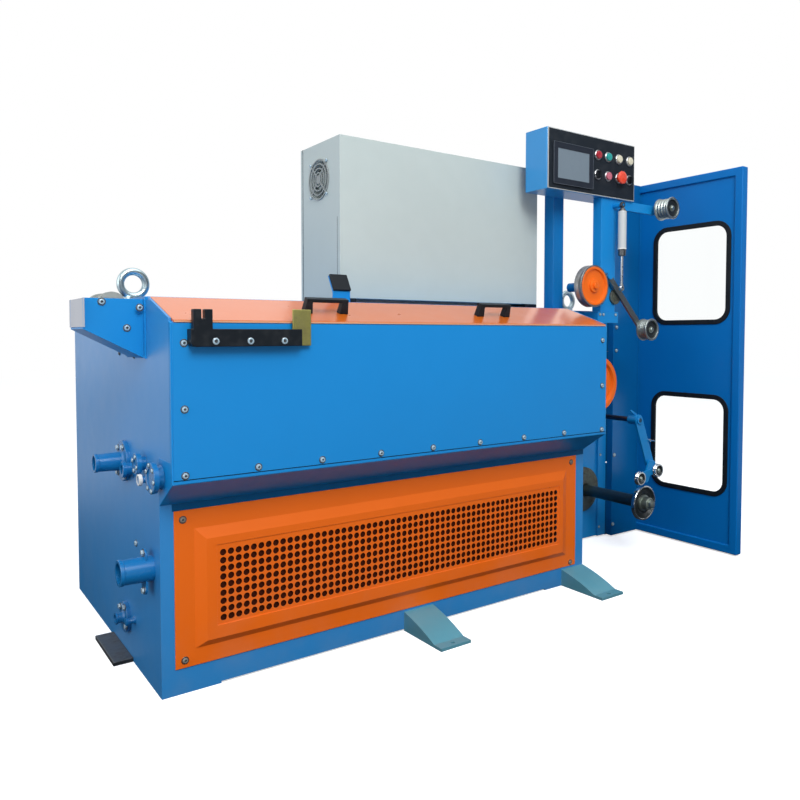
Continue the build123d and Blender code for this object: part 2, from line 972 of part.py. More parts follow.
bezel_front = fascia_front - bezel_thickness
button_rows = (console_top - upper_button_drop, console_bottom + lower_button_lift)
button_places = [(console_left + x, z) for z in button_rows for x in button_columns]
with BuildPart() as button_bezels:
    for button_x, button_z in button_places:
        rod_along_y(button_x, (bezel_front, fascia_front), button_z, bezel_radius)

cap_front = bezel_front - button_length
with BuildPart() as push_buttons:
    for button_x, button_z in button_places[:4] + button_places[5:6]:
        rod_along_y(button_x, (cap_front, bezel_front), button_z, button_radius)
    for button_x, button_z in (button_places[4], button_places[7]):
        rod_along_y(button_x, (cap_front, bezel_front), button_z, button_radius)
        block(
            (button_x - selector_width / 2, button_x + selector_width / 2),
            (cap_front - button_length, cap_front),
            (button_z - selector_length / 2, button_z + selector_length / 2),
        )

stop_front = bezel_front - stop_length
with BuildPart() as stop_button:
    turned(
        button_places[6][0],
        button_places[6][1],
        [
            (0, stop_front),
            (stop_radius * 3 / 4, stop_front),
            (stop_radius, stop_front + stop_length / 4),
            (stop_radius, stop_front + stop_length / 2),
            (button_radius, stop_front + stop_length * 2 / 3),
            (button_radius, bezel_front),
            (0, bezel_front),
        ],
    )

# Guide wheel on its arbor

wheel_place = takeup_left + wheel_offset
wheel_height = shelf_top + wheel_rise
wheel_back = wheel_front + wheel_width
with BuildPart() as guide_arbor:
    arbor_front = wheel_back + side_gap
    rod_along_y(wheel_place, (arbor_front, arbor_front + arbor_length), wheel_height, arbor_radius)
    rod_along_y(wheel_place, (wheel_back - arbor_tip_length, arbor_front), wheel_height, arbor_tip_radius)
    block(
        (wheel_place, right_column_left),
        (right_column_front, right_column_front + right_column_depth),
        (wheel_height - arbor_radius, wheel_height + arbor_radius),
    )

tip_front = wheel_back - arbor_tip_length - side_gap
wheel_web_back = wheel_back - wheel_dish
groove_middle = (wheel_front + wheel_back) / 2
with BuildPart() as guide_wheel:
    turned(
        wheel_place,
        wheel_height,
        [
            (0, wheel_front),
            (wheel_boss_radius, wheel_front),
            (wheel_boss_radius, wheel_front + wheel_dish),
            (wheel_radius - wheel_rim, wheel_front + wheel_dish),
            (wheel_radius - wheel_rim, wheel_front),
            (wheel_radius, wheel_front),
            (wheel_radius - wheel_groove, groove_middle),
            (wheel_radius, wheel_back),
            (wheel_radius - wheel_rim, wheel_back),
            (wheel_radius - wheel_rim, wheel_web_back),
            (wheel_boss_radius, wheel_web_back),
            (wheel_boss_radius, wheel_back),
            (arbor_tip_radius + running_gap, wheel_back),
            (arbor_tip_radius + running_gap, tip_front),
            (0, tip_front),
        ],
    )

# Dancer arm, its roller and the damper that carries it

boss_front = right_column_front - dancer_boss_length
arm_front = boss_front - side_gap - dancer_arm_thickness
dancer_place = right_column_left + dancer_offset
dancer_height = console_bottom - dancer_drop_below_console
damper_top_height = console_bottom - damper_top_drop
dancer_length = hypot(dancer_reach, dancer_drop)
dancer_angle = degrees(atan2(dancer_drop, dancer_reach))
dancer_end_x = dancer_place + dancer_reach
dancer_end_z = dancer_height - dancer_drop
pin_share = damper_pin_distance / dancer_length
damper_foot_x = dancer_place + dancer_reach * pin_share
damper_foot_z = dancer_height - dancer_drop * pin_share
clevis_back = damper_plane + damper_barrel_radius / 2
eye_front = damper_plane - damper_eye_thickness / 2
with BuildPart() as column_brackets:
    rod_along_y(dancer_place, (boss_front, right_column_front), dancer_height, dancer_hub_radius)
    rod_along_y(dancer_place, (arm_front - side_gap, boss_front), dancer_height, dancer_pin_radius)
    rod_along_y(
        dancer_place,
        (arm_front - side_gap - roller_rim, arm_front - side_gap),
        dancer_height,
        dancer_pin_radius + roller_rim,
    )
    rod_along_y(
        damper_foot_x, (clevis_back, right_column_front), damper_top_height, damper_boss_radius
    )
    rod_along_y(damper_foot_x, (eye_front, clevis_back), damper_top_height, damper_pin_radius)

roller_back = arm_front - side_gap
roller_front = roller_back - roller_length
upper_roller_front = roller_back - upper_roller_length
with BuildPart() as dancer_arm:
    with BuildSketch(front_plane(arm_front + dancer_arm_thickness)) as arm_outline:
        middle = (dancer_place + dancer_reach / 2, dancer_height - dancer_drop / 2)
        with Locations(Location((*middle, 0), (0, 0, -dancer_angle))):
            SlotCenterToCenter(dancer_length, dancer_arm_width)
        with Locations((dancer_place, dancer_height)):
            Circle(dancer_hub_radius)
    extrude(arm_outline.sketch, amount=dancer_arm_thickness)
    rod_along_y(
        dancer_place,
        (arm_front, arm_front + dancer_arm_thickness),
        dancer_height,
        dancer_pin_radius + running_gap,
        Mode.SUBTRACT,
    )
    rod_along_y(dancer_end_x, (roller_front, arm_front), dancer_end_z, roller_bore)
    rod_along_y(damper_foot_x, (eye_front, arm_front), damper_foot_z, damper_pin_radius)

with BuildPart() as dancer_roller:
    grooved_roller(
        dancer_end_x, dancer_end_z, (roller_front, roller_back),
        roller_radius, roller_core, roller_bore + running_gap, roller_groove_count, roller_rim,
    )
    roller_dish_cut(dancer_end_x, dancer_end_z, roller_front)

upper_roller_height = console_bottom - side_gap - upper_arm_height / 2
upper_arm_end = right_column_right + upper_arm_reach
upper_arm_bottom = upper_roller_height - upper_arm_height / 2
upper_arm_back = right_column_front + upper_arm_thickness
with BuildPart() as upper_arm:
    with BuildSketch(front_plane(upper_arm_back)) as bar_face:
        with BuildLine():
            Polyline(
                (upper_arm_end, upper_arm_bottom),
                (right_column_right, upper_arm_bottom),
                (right_column_right, upper_arm_bottom + upper_arm_height),
                (upper_arm_end, upper_arm_bottom + upper_arm_height),
            )
            RadiusArc(
                (upper_arm_end, upper_arm_bottom + upper_arm_height),
                (upper_arm_end, upper_arm_bottom),
                upper_arm_height / 2,
            )
        make_face()
    extrude(bar_face.sketch, amount=upper_arm_thickness)
    rod_along_y(
        upper_arm_end, (upper_roller_front, right_column_front), upper_roller_height, roller_bore
    )

with BuildPart() as upper_roller:
    grooved_roller(
        upper_arm_end, upper_roller_height, (upper_roller_front, roller_back),
        roller_radius, roller_core, roller_bore + running_gap, roller_groove_count, roller_rim,
    )
    roller_dish_cut(upper_arm_end, upper_roller_height, upper_roller_front)

barrel_top = damper_top_height - damper_barrel_top
barrel_bottom = barrel_top - damper_barrel_length
cap_bottom = barrel_bottom - damper_cap_length
with BuildPart() as damper_cylinder:
    rod_along_z(damper_foot_x, damper_plane, (barrel_bottom, barrel_top), damper_barrel_radius)
    rod_along_z(damper_foot_x, damper_plane, (cap_bottom, barrel_bottom), damper_cap_radius)
    rod_along_z(damper_foot_x, damper_plane, (barrel_top, damper_top_height), damper_rod_radius)
    eye_span = (eye_front, eye_front + damper_eye_thickness)
    rod_along_y(damper_foot_x, eye_span, damper_top_height, damper_pin_radius + damper_eye_wall)
    rod_along_y(damper_foot_x, eye_span, damper_top_height, damper_pin_radius + running_gap, Mode.SUBTRACT)
    rod_along_z(
        damper_foot_x, damper_plane, (cap_bottom, barrel_top - damper_eye_wall),
        damper_rod_radius + running_gap, Mode.SUBTRACT,
    )

rod_eye_bore = damper_pin_radius + damper_eye_play
rod_eye_radius = rod_eye_bore + damper_eye_wall
with BuildPart() as damper_rod:
    rod_along_z(
        damper_foot_x, damper_plane, (damper_foot_z, cap_bottom + damper_rod_hidden), damper_rod_radius
    )
    rod_along_y(damper_foot_x, eye_span, damper_foot_z, rod_eye_radius)
    rod_along_y(damper_foot_x, eye_span, damper_foot_z, rod_eye_bore, Mode.SUBTRACT)

# Shaft bearings on the take-up frame, and the take-up wheel

spindle_place = takeup_right - spindle_margin
traverse_place = spindle_place - traverse_offset
traverse_height = spindle_height + traverse_rise
capstan_place = spindle_place - capstan_offset
capstan_height = traverse_height + capstan_rise
bearing_front = takeup_front - bearing_thickness
shaft_end = takeup_front - side_gap
with BuildPart() as shaft_bearings:
    turned(
        capstan_place,
        capstan_height,
        [
            (capstan_shaft_radius + running_gap, bearing_front),
            (capstan_bearing_radius - bearing_thickness / 3, bearing_front),
            (capstan_bearing_radius, takeup_front - bearing_thickness / 2),
            (capstan_bearing_radius, takeup_front),
            (capstan_shaft_radius + running_gap, takeup_front),
        ],
    )
    turned(
        spindle_place,
        spindle_height,
        [
            (spindle_radius + running_gap, bearing_front),
            (spindle_bearing_radius - bearing_thickness, bearing_front),
            (spindle_bearing_radius - bearing_thickness, takeup_front - bearing_thickness / 2),
            (spindle_bearing_radius, takeup_front - bearing_thickness / 2),
            (spindle_bearing_radius, takeup_front),
            (spindle_radius + running_gap, takeup_front),
        ],
    )

capstan_back = capstan_front + capstan_width
with BuildPart() as capstan_wheel:
    turned(
        capstan_place,
        capstan_height,
        [
            (0, capstan_front),
            (capstan_shaft_radius, capstan_front),
            (capstan_shaft_radius, capstan_front + capstan_dish),
            (capstan_radius - capstan_rim, capstan_front + capstan_dish),
            (capstan_radius - capstan_rim, capstan_front),
            (capstan_radius, capstan_front),
            (capstan_radius, capstan_back),
            (capstan_radius - capstan_rim, capstan_back),
            (capstan_shaft_radius, capstan_back - capstan_rim),
            (capstan_shaft_radius, shaft_end),
            (0, shaft_end),
        ],
    )

# Spindle

flange_back = spindle_flange_front + spindle_flange_thickness
hub_front = spindle_flange_front - spindle_hub_length
with BuildPart() as spindle:
    turned(
        spindle_place,
        spindle_height,
        [
            (0, hub_front),
            (spindle_hub_radius, hub_front),
            (spindle_hub_radius, spindle_flange_front + roller_rim),
            (spindle_flange_radius - roller_rim, spindle_flange_front + roller_rim),
            (spindle_flange_radius - roller_rim, spindle_flange_front),
            (spindle_flange_radius, spindle_flange_front),
            (spindle_flange_radius, flange_back),
            (spindle_radius, flange_back),
            (spindle_radius, shaft_end),
            (0, shaft_end),
        ],
    )
    with BuildSketch(front_plane(hub_front)) as nut_face:
        with Locations((spindle_place, spindle_height)):
            RegularPolygon(spindle_nut_size / 2, 6)
    extrude(nut_face.sketch, amount=spindle_nut_length)

# Wire traverse

fork_place, fork_height = spindle_place + fork_offset, spindle_height + fork_rise
upper_guide_place, upper_guide_height = spindle_place + upper_guide_offset, spindle_height + upper_guide_rise
lower_guide_place, lower_guide_height = spindle_place - lower_guide_offset, spindle_height + lower_guide_rise
arm_back = carriage_arm_front + carriage_arm_thickness
with BuildPart() as traverse_rod:
    rod_along_y(
        traverse_place, (carriage_arm_front, takeup_front), traverse_height, traverse_rod_radius
    )

with BuildPart() as traverse_carriage:
    hub_back = arm_back + carriage_length
    rod_along_y(traverse_place, (arm_back, hub_back), traverse_height, carriage_radius)
    with BuildSketch(front_plane(arm_back)) as carriage_outline:
        for start, end in (
            ((traverse_place, traverse_height), (fork_place, fork_height)),
            ((fork_place, fork_height), (upper_guide_place, upper_guide_height)),
            ((fork_place, fork_height), (lower_guide_place, lower_guide_height)),
        ):
            length = hypot(end[0] - start[0], end[1] - start[1])
            turn = degrees(atan2(end[1] - start[1], end[0] - start[0]))
            centre = ((start[0] + end[0]) / 2, (start[1] + end[1]) / 2)
            with Locations(Location((*centre, 0), (0, 0, turn))):
                SlotCenterToCenter(length, carriage_arm_width)
        with Locations((traverse_place, traverse_height)):
            Circle(carriage_radius)
    extrude(carriage_outline.sketch, amount=carriage_arm_thickness)
    hub_bore = traverse_rod_radius + running_gap
    rod_along_y(traverse_place, (carriage_arm_front, hub_back), traverse_height, hub_bore, Mode.SUBTRACT)
    guide_back = carriage_arm_front - side_gap
    guide_front = guide_back - guide_width
    for guide_x, guide_z in (
        (upper_guide_place, upper_guide_height),
        (lower_guide_place, lower_guide_height),
    ):
        rod_along_y(guide_x, (guide_front, carriage_arm_front), guide_z, guide_pin_radius)

with BuildPart() as upper_wire_roller:
    grooved_roller(
        upper_guide_place, upper_guide_height, (guide_front, guide_back),
        guide_radius, guide_radius - 2 * roller_rim, guide_pin_radius + running_gap, 1, roller_rim / 2,
    )

with BuildPart() as lower_wire_roller:
    grooved_roller(
        lower_guide_place, lower_guide_height, (guide_front, guide_back),
        guide_radius, guide_radius - 2 * roller_rim, guide_pin_radius + running_gap, 1, roller_rim / 2,
    )

# Side guard with its two windows

panel_left = guard_left + guard_return_width
panel_right = panel_left + guard_thickness
sheet_left = panel_left + guard_recess
window_middle_y = window_inset - guard_front + window_depth / 2
upper_window_bottom = lower_window_bottom + lower_window_height + window_spacing
guard_top = upper_window_bottom + upper_window_height + guard_head
window_centres = [
    (upper_window_bottom + upper_window_height / 2, upper_window_height),
    (lower_window_bottom + lower_window_height / 2, lower_window_height),
]


def window_shape(centre_z, height, margin, mode=Mode.ADD):
    with Locations((window_middle_y, centre_z)):
        RectangleRounded(
            window_depth + 2 * margin, height + 2 * margin, window_corner + margin, mode=mode
        )


with BuildPart() as guard_return:
    block(
        (guard_left, panel_left),
        (guard_back - guard_return_thickness, guard_back),
        (guard_bottom, guard_top),
    )

with BuildPart() as guard_panel:
    block((panel_left, panel_right), (-guard_front, guard_back), (guard_bottom, guard_top))
    block(
        (panel_left, sheet_left),
        (guard_border - guard_front, guard_back - guard_return_thickness),
        (guard_bottom + guard_border, guard_top - guard_border),
        Mode.SUBTRACT,
    )
    with BuildSketch(side_plane(sheet_left)) as window_holes:
        for centre_z, height in window_centres:
            window_shape(centre_z, height, seal_lip)
    extrude(window_holes.sketch, amount=panel_right - sheet_left, mode=Mode.SUBTRACT)

with BuildPart() as window_seals:
    with BuildSketch(side_plane(sheet_left)) as seal_core:
        for centre_z, height in window_centres:
            window_shape(centre_z, height, seal_lip)
            window_shape(centre_z, height, 0, Mode.SUBTRACT)
    extrude(seal_core.sketch, amount=panel_right - sheet_left)
    with BuildSketch(side_plane(sheet_left)) as seal_face:
        for centre_z, height in window_centres:
            window_shape(centre_z, height, seal_width)
            window_shape(centre_z, height, 0, Mode.SUBTRACT)
    extrude(seal_face.sketch, amount=-seal_thickness)

pane_middle = (sheet_left + panel_right) / 2
with BuildPart() as window_panes:
    with BuildSketch(side_plane(pane_middle)) as pane_outline:
        for centre_z, height in window_centres:
            window_shape(centre_z, height, 0)
    extrude(pane_outline.sketch, amount=pane_thickness / 2, both=True)

with BuildPart() as guard_knuckles:
    for centre in guard_hinge_heights:
        knuckle = (centre + hinge_play / 2, centre + guard_hinge_half)
        rod_along_z(guard_left, guard_hinge_y, knuckle, guard_hinge_radius)
        block(
            (guard_left, guard_left + guard_hinge_leaf_width),
            (guard_back, guard_back + guard_hinge_leaf),
            knuckle,
        )

pieces = {
    "lower_housing": lower_housing,
    "front_panel": front_panel,
    "end_plates": end_plates,
    "rear_housing": rear_housing,
    "deck": deck,
    "lid": lid,
    "fixed_hinges": fixed_hinges,
    "lid_handles": lid_handles,
    "lid_rest": lid_rest,
    "rest_pad": rest_pad,
    "vent_cover": vent_cover,
    "front_feet": front_feet,
    "end_foot": end_foot,
    "inlet_bracket": inlet_bracket,
    "inlet_sheaves": inlet_sheaves,
    "lifting_eyes": lifting_eyes,
    "guide_bar": guide_bar,
    "brass_plate": brass_plate,
    "pipe_fittings": pipe_fittings,
    "cabinet_feet": cabinet_feet,
    "cabinet_body": cabinet_body,
    "cabinet_door": cabinet_door,
    "fan_rotor": fan_rotor,
    "fan_guard": fan_guard,
    "takeup_frame": takeup_frame,
    "column_shelf": column_shelf,
    "left_column": left_column,
    "right_column": right_column,
    "console_housing": console_housing,
    "console_fascia": console_fascia,
    "screen_bezel": screen_bezel,
    "screen_glass": screen_glass,
    "button_bezels": button_bezels,
    "push_buttons": push_buttons,
    "stop_button": stop_button,
    "guide_arbor": guide_arbor,
    "guide_wheel": guide_wheel,
    "column_brackets": column_brackets,
    "dancer_arm": dancer_arm,
    "dancer_roller": dancer_roller,
    "upper_arm": upper_arm,
    "upper_roller": upper_roller,
    "damper_cylinder": damper_cylinder,
    "damper_rod": damper_rod,
    "shaft_bearings": shaft_bearings,
    "capstan_wheel": capstan_wheel,
    "spindle": spindle,
    "traverse_rod": traverse_rod,
    "traverse_carriage": traverse_carriage,
    "upper_wire_roller": upper_wire_roller,
    "lower_wire_roller": lower_wire_roller,
    "guard_return": guard_return,
    "guard_panel": guard_panel,
    "window_seals": window_seals,
    "window_panes": window_panes,
    "guard_knuckles": guard_knuckles,
}
os.makedirs("parts", exist_ok=True)
for name, piece in pieces.items():
    piece.part.label = name
    export_step(piece.part, f"parts/{name}.step")
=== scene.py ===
from math import atan2, cos, hypot, pi, radians

import bmesh
import bpy
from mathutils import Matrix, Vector


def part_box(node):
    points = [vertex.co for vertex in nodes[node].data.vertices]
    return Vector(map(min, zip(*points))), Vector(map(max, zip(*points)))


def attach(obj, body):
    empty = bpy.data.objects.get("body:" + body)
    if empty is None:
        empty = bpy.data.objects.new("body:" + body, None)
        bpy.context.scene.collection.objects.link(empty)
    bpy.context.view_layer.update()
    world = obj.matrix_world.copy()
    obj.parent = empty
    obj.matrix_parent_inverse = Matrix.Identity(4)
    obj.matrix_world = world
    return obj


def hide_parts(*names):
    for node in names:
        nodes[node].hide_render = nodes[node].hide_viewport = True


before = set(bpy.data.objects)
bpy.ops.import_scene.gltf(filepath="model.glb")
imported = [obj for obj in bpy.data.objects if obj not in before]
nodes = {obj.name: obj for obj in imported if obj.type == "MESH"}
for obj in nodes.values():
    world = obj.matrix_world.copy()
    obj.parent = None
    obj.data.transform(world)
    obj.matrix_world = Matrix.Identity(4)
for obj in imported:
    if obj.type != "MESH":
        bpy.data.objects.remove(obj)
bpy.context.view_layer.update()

# Pieces are modelled in metres from the base's front left floor corner, and then moved there
baseCorner = Vector((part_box("lower_housing")[0].x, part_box("lower_housing")[0].y, 0))

cameraView = {
    "place": (-0.525, -1.771, 0.900),
    "heading": -35.0,
    "pitch": -2.287,
    "lens": 32.67,
    "shiftY": -0.04625,
}

lampPlan = {
    "front": {"place": (-0.5, -3.8, 3.9), "aim": (0.9, 0.0, 0.7), "size": 2.2, "power": 190},
    "left": {"place": (-3.2, -0.2, 1.8), "aim": (0.2, 0.3, 0.6), "size": 2.4, "power": 38},
    "top": {"place": (0.8, -1.2, 4.2), "aim": (1.1, 0.2, 0.8), "size": 3.2, "power": 45},
}

stageLook = {
    "ambient": 0.54,
    "ambientColor": (0.93, 0.96, 1.0, 1.0),
    "mirrorColor": (0.97, 0.985, 1.0, 1.0),
    "mirrorBack": (-0.55, 0.15),
    "mirrorTop": (0.35, 0.8),
    "frontDark": 0.12,
    "floorHeight": -0.0005,
    "floorSeen": (0.86, 0.86, 0.86, 1.0),
    "floorNear": (0.03, 0.035, 0.04, 1.0),
    "floorFar": (0.80, 0.82, 0.85, 1.0),
    "floorTurn": (1.7, 3.6),
    "floorGlow": 0.55,
    "halfSize": 14.0,
}


def addCamera():
    data = bpy.data.cameras.new("photoCamera")
    data.sensor_width = 36.0
    data.lens = cameraView["lens"]
    data.shift_y = cameraView["shiftY"]
    data.clip_end = 60.0
    camera = bpy.data.objects.new("photoCamera", data)
    bpy.context.scene.collection.objects.link(camera)
    camera.location = baseCorner + Vector(cameraView["place"])
    camera.rotation_euler = (radians(90 + cameraView["pitch"]), 0.0, radians(cameraView["heading"]))
    bpy.context.scene.camera = camera


def addLamps():
    for name, plan in lampPlan.items():
        data = bpy.data.lights.new(name + "Lamp", "AREA")
        data.shape = "SQUARE"
        data.size = plan["size"]
        data.energy = plan["power"]
        lamp = bpy.data.objects.new(name + "Lamp", data)
        bpy.context.scene.collection.objects.link(lamp)
        lamp.location = baseCorner + Vector(plan["place"])
        towards = Vector(plan["aim"]) - Vector(plan["place"])
        lamp.rotation_euler = towards.to_track_quat("-Z", "Y").to_euler()


def addWorld():
    # The camera and glass see plain white. Mirrors see white behind the machine, a dim studio in front
    world = bpy.data.worlds.new("studio")
    bpy.context.scene.world = world
    world.use_nodes = True
    tree = world.node_tree
    tree.nodes.clear()
    output = tree.nodes.new("ShaderNodeOutputWorld")
    soft = tree.nodes.new("ShaderNodeBackground")
    soft.inputs["Color"].default_value = stageLook["ambientColor"]
    soft.inputs["Strength"].default_value = stageLook["ambient"]
    white = tree.nodes.new("ShaderNodeBackground")
    white.inputs["Color"].default_value = (1.0, 1.0, 1.0, 1.0)
    mirrored = tree.nodes.new("ShaderNodeBackground")
    mirrored.inputs["Color"].default_value = stageLook["mirrorColor"]
    direction = tree.nodes.new("ShaderNodeSeparateXYZ")
    tree.links.new(tree.nodes.new("ShaderNodeTexCoord").outputs["Generated"], direction.inputs[0])
    behind = ramp(tree, direction.outputs["Y"], *stageLook["mirrorBack"])
    above = ramp(tree, direction.outputs["Z"], *stageLook["mirrorTop"])
    bright = mathNode(tree, "MAXIMUM", behind, above)
    dim = stageLook["frontDark"]
    tree.links.new(mathNode(tree, "MULTIPLY_ADD", bright, 1.0 - dim, dim), mirrored.inputs["Strength"])
    rays = tree.nodes.new("ShaderNodeLightPath")
    glossyMix = tree.nodes.new("ShaderNodeMixShader")
    tree.links.new(rays.outputs["Is Glossy Ray"], glossyMix.inputs["Fac"])
    tree.links.new(soft.outputs[0], glossyMix.inputs[1])
    tree.links.new(mirrored.outputs[0], glossyMix.inputs[2])
    seen = mathNode(tree, "MAXIMUM", rays.outputs["Is Camera Ray"], rays.outputs["Is Transmission Ray"])
    whiteMix = tree.nodes.new("ShaderNodeMixShader")
    tree.links.new(seen, whiteMix.inputs["Fac"])
    tree.links.new(glossyMix.outputs[0], whiteMix.inputs[1])
    tree.links.new(white.outputs[0], whiteMix.inputs[2])
    tree.links.new(whiteMix.outputs[0], output.inputs["Surface"])


def addFloor():
    clearSelection()
    bpy.ops.mesh.primitive_grid_add(x_subdivisions=4, y_subdivisions=4, size=2 * stageLook["halfSize"])
    floor = bpy.context.object
    floor.name = "floor"
    floor.location.z = stageLook["floorHeight"]
    material = bpy.data.materials.new("paleFloor")
    material.use_nodes = True
    tree = material.node_tree
    tree.nodes.clear()
    output = tree.nodes.new("ShaderNodeOutputMaterial")
    matt = tree.nodes.new("ShaderNodeBsdfDiffuse")
    glow = tree.nodes.new("ShaderNodeEmission")
    glow.inputs["Color"].default_value = (1.0, 1.0, 1.0, 1.0)
    rays = tree.nodes.new("ShaderNodeLightPath")
    seen = mathNode(tree, "MAXIMUM", rays.outputs["Is Camera Ray"], rays.outputs["Is Transmission Ray"])
    # The camera sees a pale floor. What it throws back on the machine is dim close by, bright further off
    distance = tree.nodes.new("ShaderNodeVectorMath")
    distance.operation = "LENGTH"
    tree.links.new(tree.nodes.new("ShaderNodeTexCoord").outputs["Object"], distance.inputs[0])
    further = ramp(tree, distance.outputs["Value"], *stageLook["floorTurn"])
    bounce = mixColor(tree, further, stageLook["floorNear"], stageLook["floorFar"])
    tree.links.new(mixColor(tree, seen, bounce, stageLook["floorSeen"]), matt.inputs["Color"])
    tree.links.new(mathNode(tree, "MULTIPLY", seen, stageLook["floorGlow"]), glow.inputs["Strength"])
    both = tree.nodes.new("ShaderNodeAddShader")
    tree.links.new(matt.outputs[0], both.inputs[0])
    tree.links.new(glow.outputs[0], both.inputs[1])
    tree.links.new(both.outputs[0], output.inputs["Surface"])
    floor.data.materials.append(material)


# Modelling helpers

facings = {
    "up": (0.0, 0.0, 0.0),
    "front": (pi / 2, 0.0, 0.0),
    "back": (-pi / 2, 0.0, 0.0),
    "left": (0.0, -pi / 2, 0.0),
    "right": (0.0, pi / 2, 0.0),
}


def clearSelection():
    if bpy.context.mode != "OBJECT":
        bpy.ops.object.mode_set(mode="OBJECT")
    bpy.ops.object.select_all(action="DESELECT")


def makeOnly(piece):
    clearSelection()
    piece.select_set(True)
    bpy.context.view_layer.objects.active = piece


def startEdit(piece, mode="FACE"):
    makeOnly(piece)
    bpy.ops.object.mode_set(mode="EDIT")
    bpy.ops.mesh.select_mode(type=mode)
    bpy.ops.mesh.select_all(action="DESELECT")


def endEdit(piece, smooth=32):
    bpy.ops.object.mode_set(mode="OBJECT")
    makeOnly(piece)
    bpy.ops.object.shade_smooth_by_angle(angle=radians(smooth))
    return piece


def pickVerts(piece, wanted):
    bpy.ops.mesh.select_all(action="DESELECT")
    shape = bmesh.from_edit_mesh(piece.data)
    for vert in shape.verts:
        if wanted(vert.co):
            vert.select = True
    for edge in shape.edges:
        if all(vert.select for vert in edge.verts):
            edge.select = True
    bmesh.update_edit_mesh(piece.data)


def pickFaces(piece, wanted):
    bpy.ops.mesh.select_all(action="DESELECT")
    shape = bmesh.from_edit_mesh(piece.data)
    for face in shape.faces:
        if wanted(face.calc_center_median(), face.normal):
            face.select_set(True)
    bmesh.update_edit_mesh(piece.data)


def pickEdges(piece, wanted):
    bpy.ops.mesh.select_all(action="DESELECT")
    shape = bmesh.from_edit_mesh(piece.data)
    for edge in shape.edges:
        if wanted(edge):
            edge.select_set(True)
    bmesh.update_edit_mesh(piece.data)


def isSharp(edge):
    return len(edge.link_faces) == 2 and edge.calc_face_angle() > 1.2


def applyPlace(piece):
    makeOnly(piece)
    bpy.ops.object.transform_apply(location=True, rotation=True, scale=True)
    return piece


def turnTo(piece, facing, place):
    piece.rotation_euler = facings[facing]
    piece.location = place
    return applyPlace(piece)


def evenNormals(piece):
    # Flat faces stay evenly lit beside their small rounded edges
    weights = piece.modifiers.new("weights", "WEIGHTED_NORMAL")
    weights.keep_sharp = True
    makeOnly(piece)
    bpy.ops.object.modifier_apply(modifier=weights.name)
    return piece


def plainBlock(name, low, high):
    # The start of each block and plate: a cube stretched between two corners, open for its edges
    clearSelection()
    bpy.ops.mesh.primitive_cube_add(size=1, location=[(a + b) / 2 for a, b in zip(low, high)])
    piece = bpy.context.object
    piece.name = name
    piece.scale = [b - a for a, b in zip(low, high)]
    applyPlace(piece)
    startEdit(piece, "EDGE")
    return piece


def softBox(name, low, high, rounding=0.0015, segments=2):
    # A block with rounded edges
    piece = plainBlock(name, low, high)
    bpy.ops.mesh.select_all(action="SELECT")
    thinnest = min(b - a for a, b in zip(low, high))
    bpy.ops.mesh.bevel(offset=min(rounding, thinnest * 0.3), segments=segments, affect="EDGES")
    return evenNormals(endEdit(piece))


def roundedSlab(name, low, high, axis, radius, rounding=0.0):
    # A plate whose corners are rounded around one axis: 0 for X, 1 for Y, 2 for Z
    piece = plainBlock(name, low, high)
    pickEdges(piece, lambda edge: abs((edge.verts[0].co - edge.verts[1].co).normalized()[axis]) > 0.9)
    bpy.ops.mesh.bevel(offset=radius, segments=8, affect="EDGES")
    if rounding:
        pickEdges(piece, isSharp)
        bpy.ops.mesh.bevel(offset=rounding, segments=2, affect="EDGES")
    return evenNormals(endEdit(piece))


def frameRing(name, low, high, axis, radius, width, rounding=0.0008):
    # A rounded frame: the slab's two faces are inset and bridged through
    piece = roundedSlab(name, low, high, axis, radius)
    startEdit(piece)
    pickFaces(piece, lambda co, normal: abs(normal[axis]) > 0.99)
    bpy.ops.mesh.inset(thickness=width, use_even_offset=True)
    bpy.ops.mesh.bridge_edge_loops()
    pickEdges(piece, isSharp)
    bpy.ops.mesh.bevel(offset=rounding, segments=2, affect="EDGES")
    bpy.ops.mesh.select_all(action="SELECT")
    bpy.ops.mesh.normals_make_consistent(inside=False)
    return evenNormals(endEdit(piece))


def turned(name, profile, facing="up", place=(0, 0, 0), sides=48, closed=False, smooth=32):
    # A lathe-turned shape. The profile is a list of distances along the axis and radii
    clearSelection()
    along, radius = profile[0]
    bpy.ops.mesh.primitive_circle_add(
        vertices=sides, radius=radius, fill_type="NOTHING" if closed else "NGON", location=(0, 0, along))
    piece = bpy.context.object
    piece.name = name
    applyPlace(piece)
    startEdit(piece, "EDGE")
    bpy.ops.mesh.select_all(action="SELECT")
    for nextAlong, nextRadius in profile[1:]:
        bpy.ops.mesh.extrude_edges_move(TRANSFORM_OT_translate={"value": (0, 0, nextAlong - along)})
        if nextRadius != radius:
            grow = nextRadius / radius
            bpy.ops.transform.resize(value=(grow, grow, 1), center_override=(0, 0, nextAlong))
        along, radius = nextAlong, nextRadius
    if not closed:
        bpy.ops.mesh.edge_face_add()
    bpy.ops.mesh.select_all(action="SELECT")
    bpy.ops.mesh.remove_doubles(threshold=0.00002)
    bpy.ops.mesh.normals_make_consistent(inside=False)
    endEdit(piece, smooth)
    return turnTo(piece, facing, place)


def copied(piece, places):
    # The first stays a pattern and goes away once each place has its own copy, all joined
    copies = []
    for place in places:
        twin = piece.copy()
        twin.data = piece.data.copy()
        bpy.context.scene.collection.objects.link(twin)
        twin.location = place
        copies.append(twin)
    name = piece.name
    bpy.data.objects.remove(piece)
    clearSelection()
    for twin in copies:
        twin.select_set(True)
    bpy.context.view_layer.objects.active = copies[0]
    bpy.ops.object.transform_apply(location=True, rotation=True, scale=True)
    return joined(copies, name)


def joined(group, name):
    clearSelection()
    for part in group:
        part.select_set(True)
    bpy.context.view_layer.objects.active = group[0]
    if len(group) > 1:
        bpy.ops.object.join()
    group[0].name = name
    return group[0]


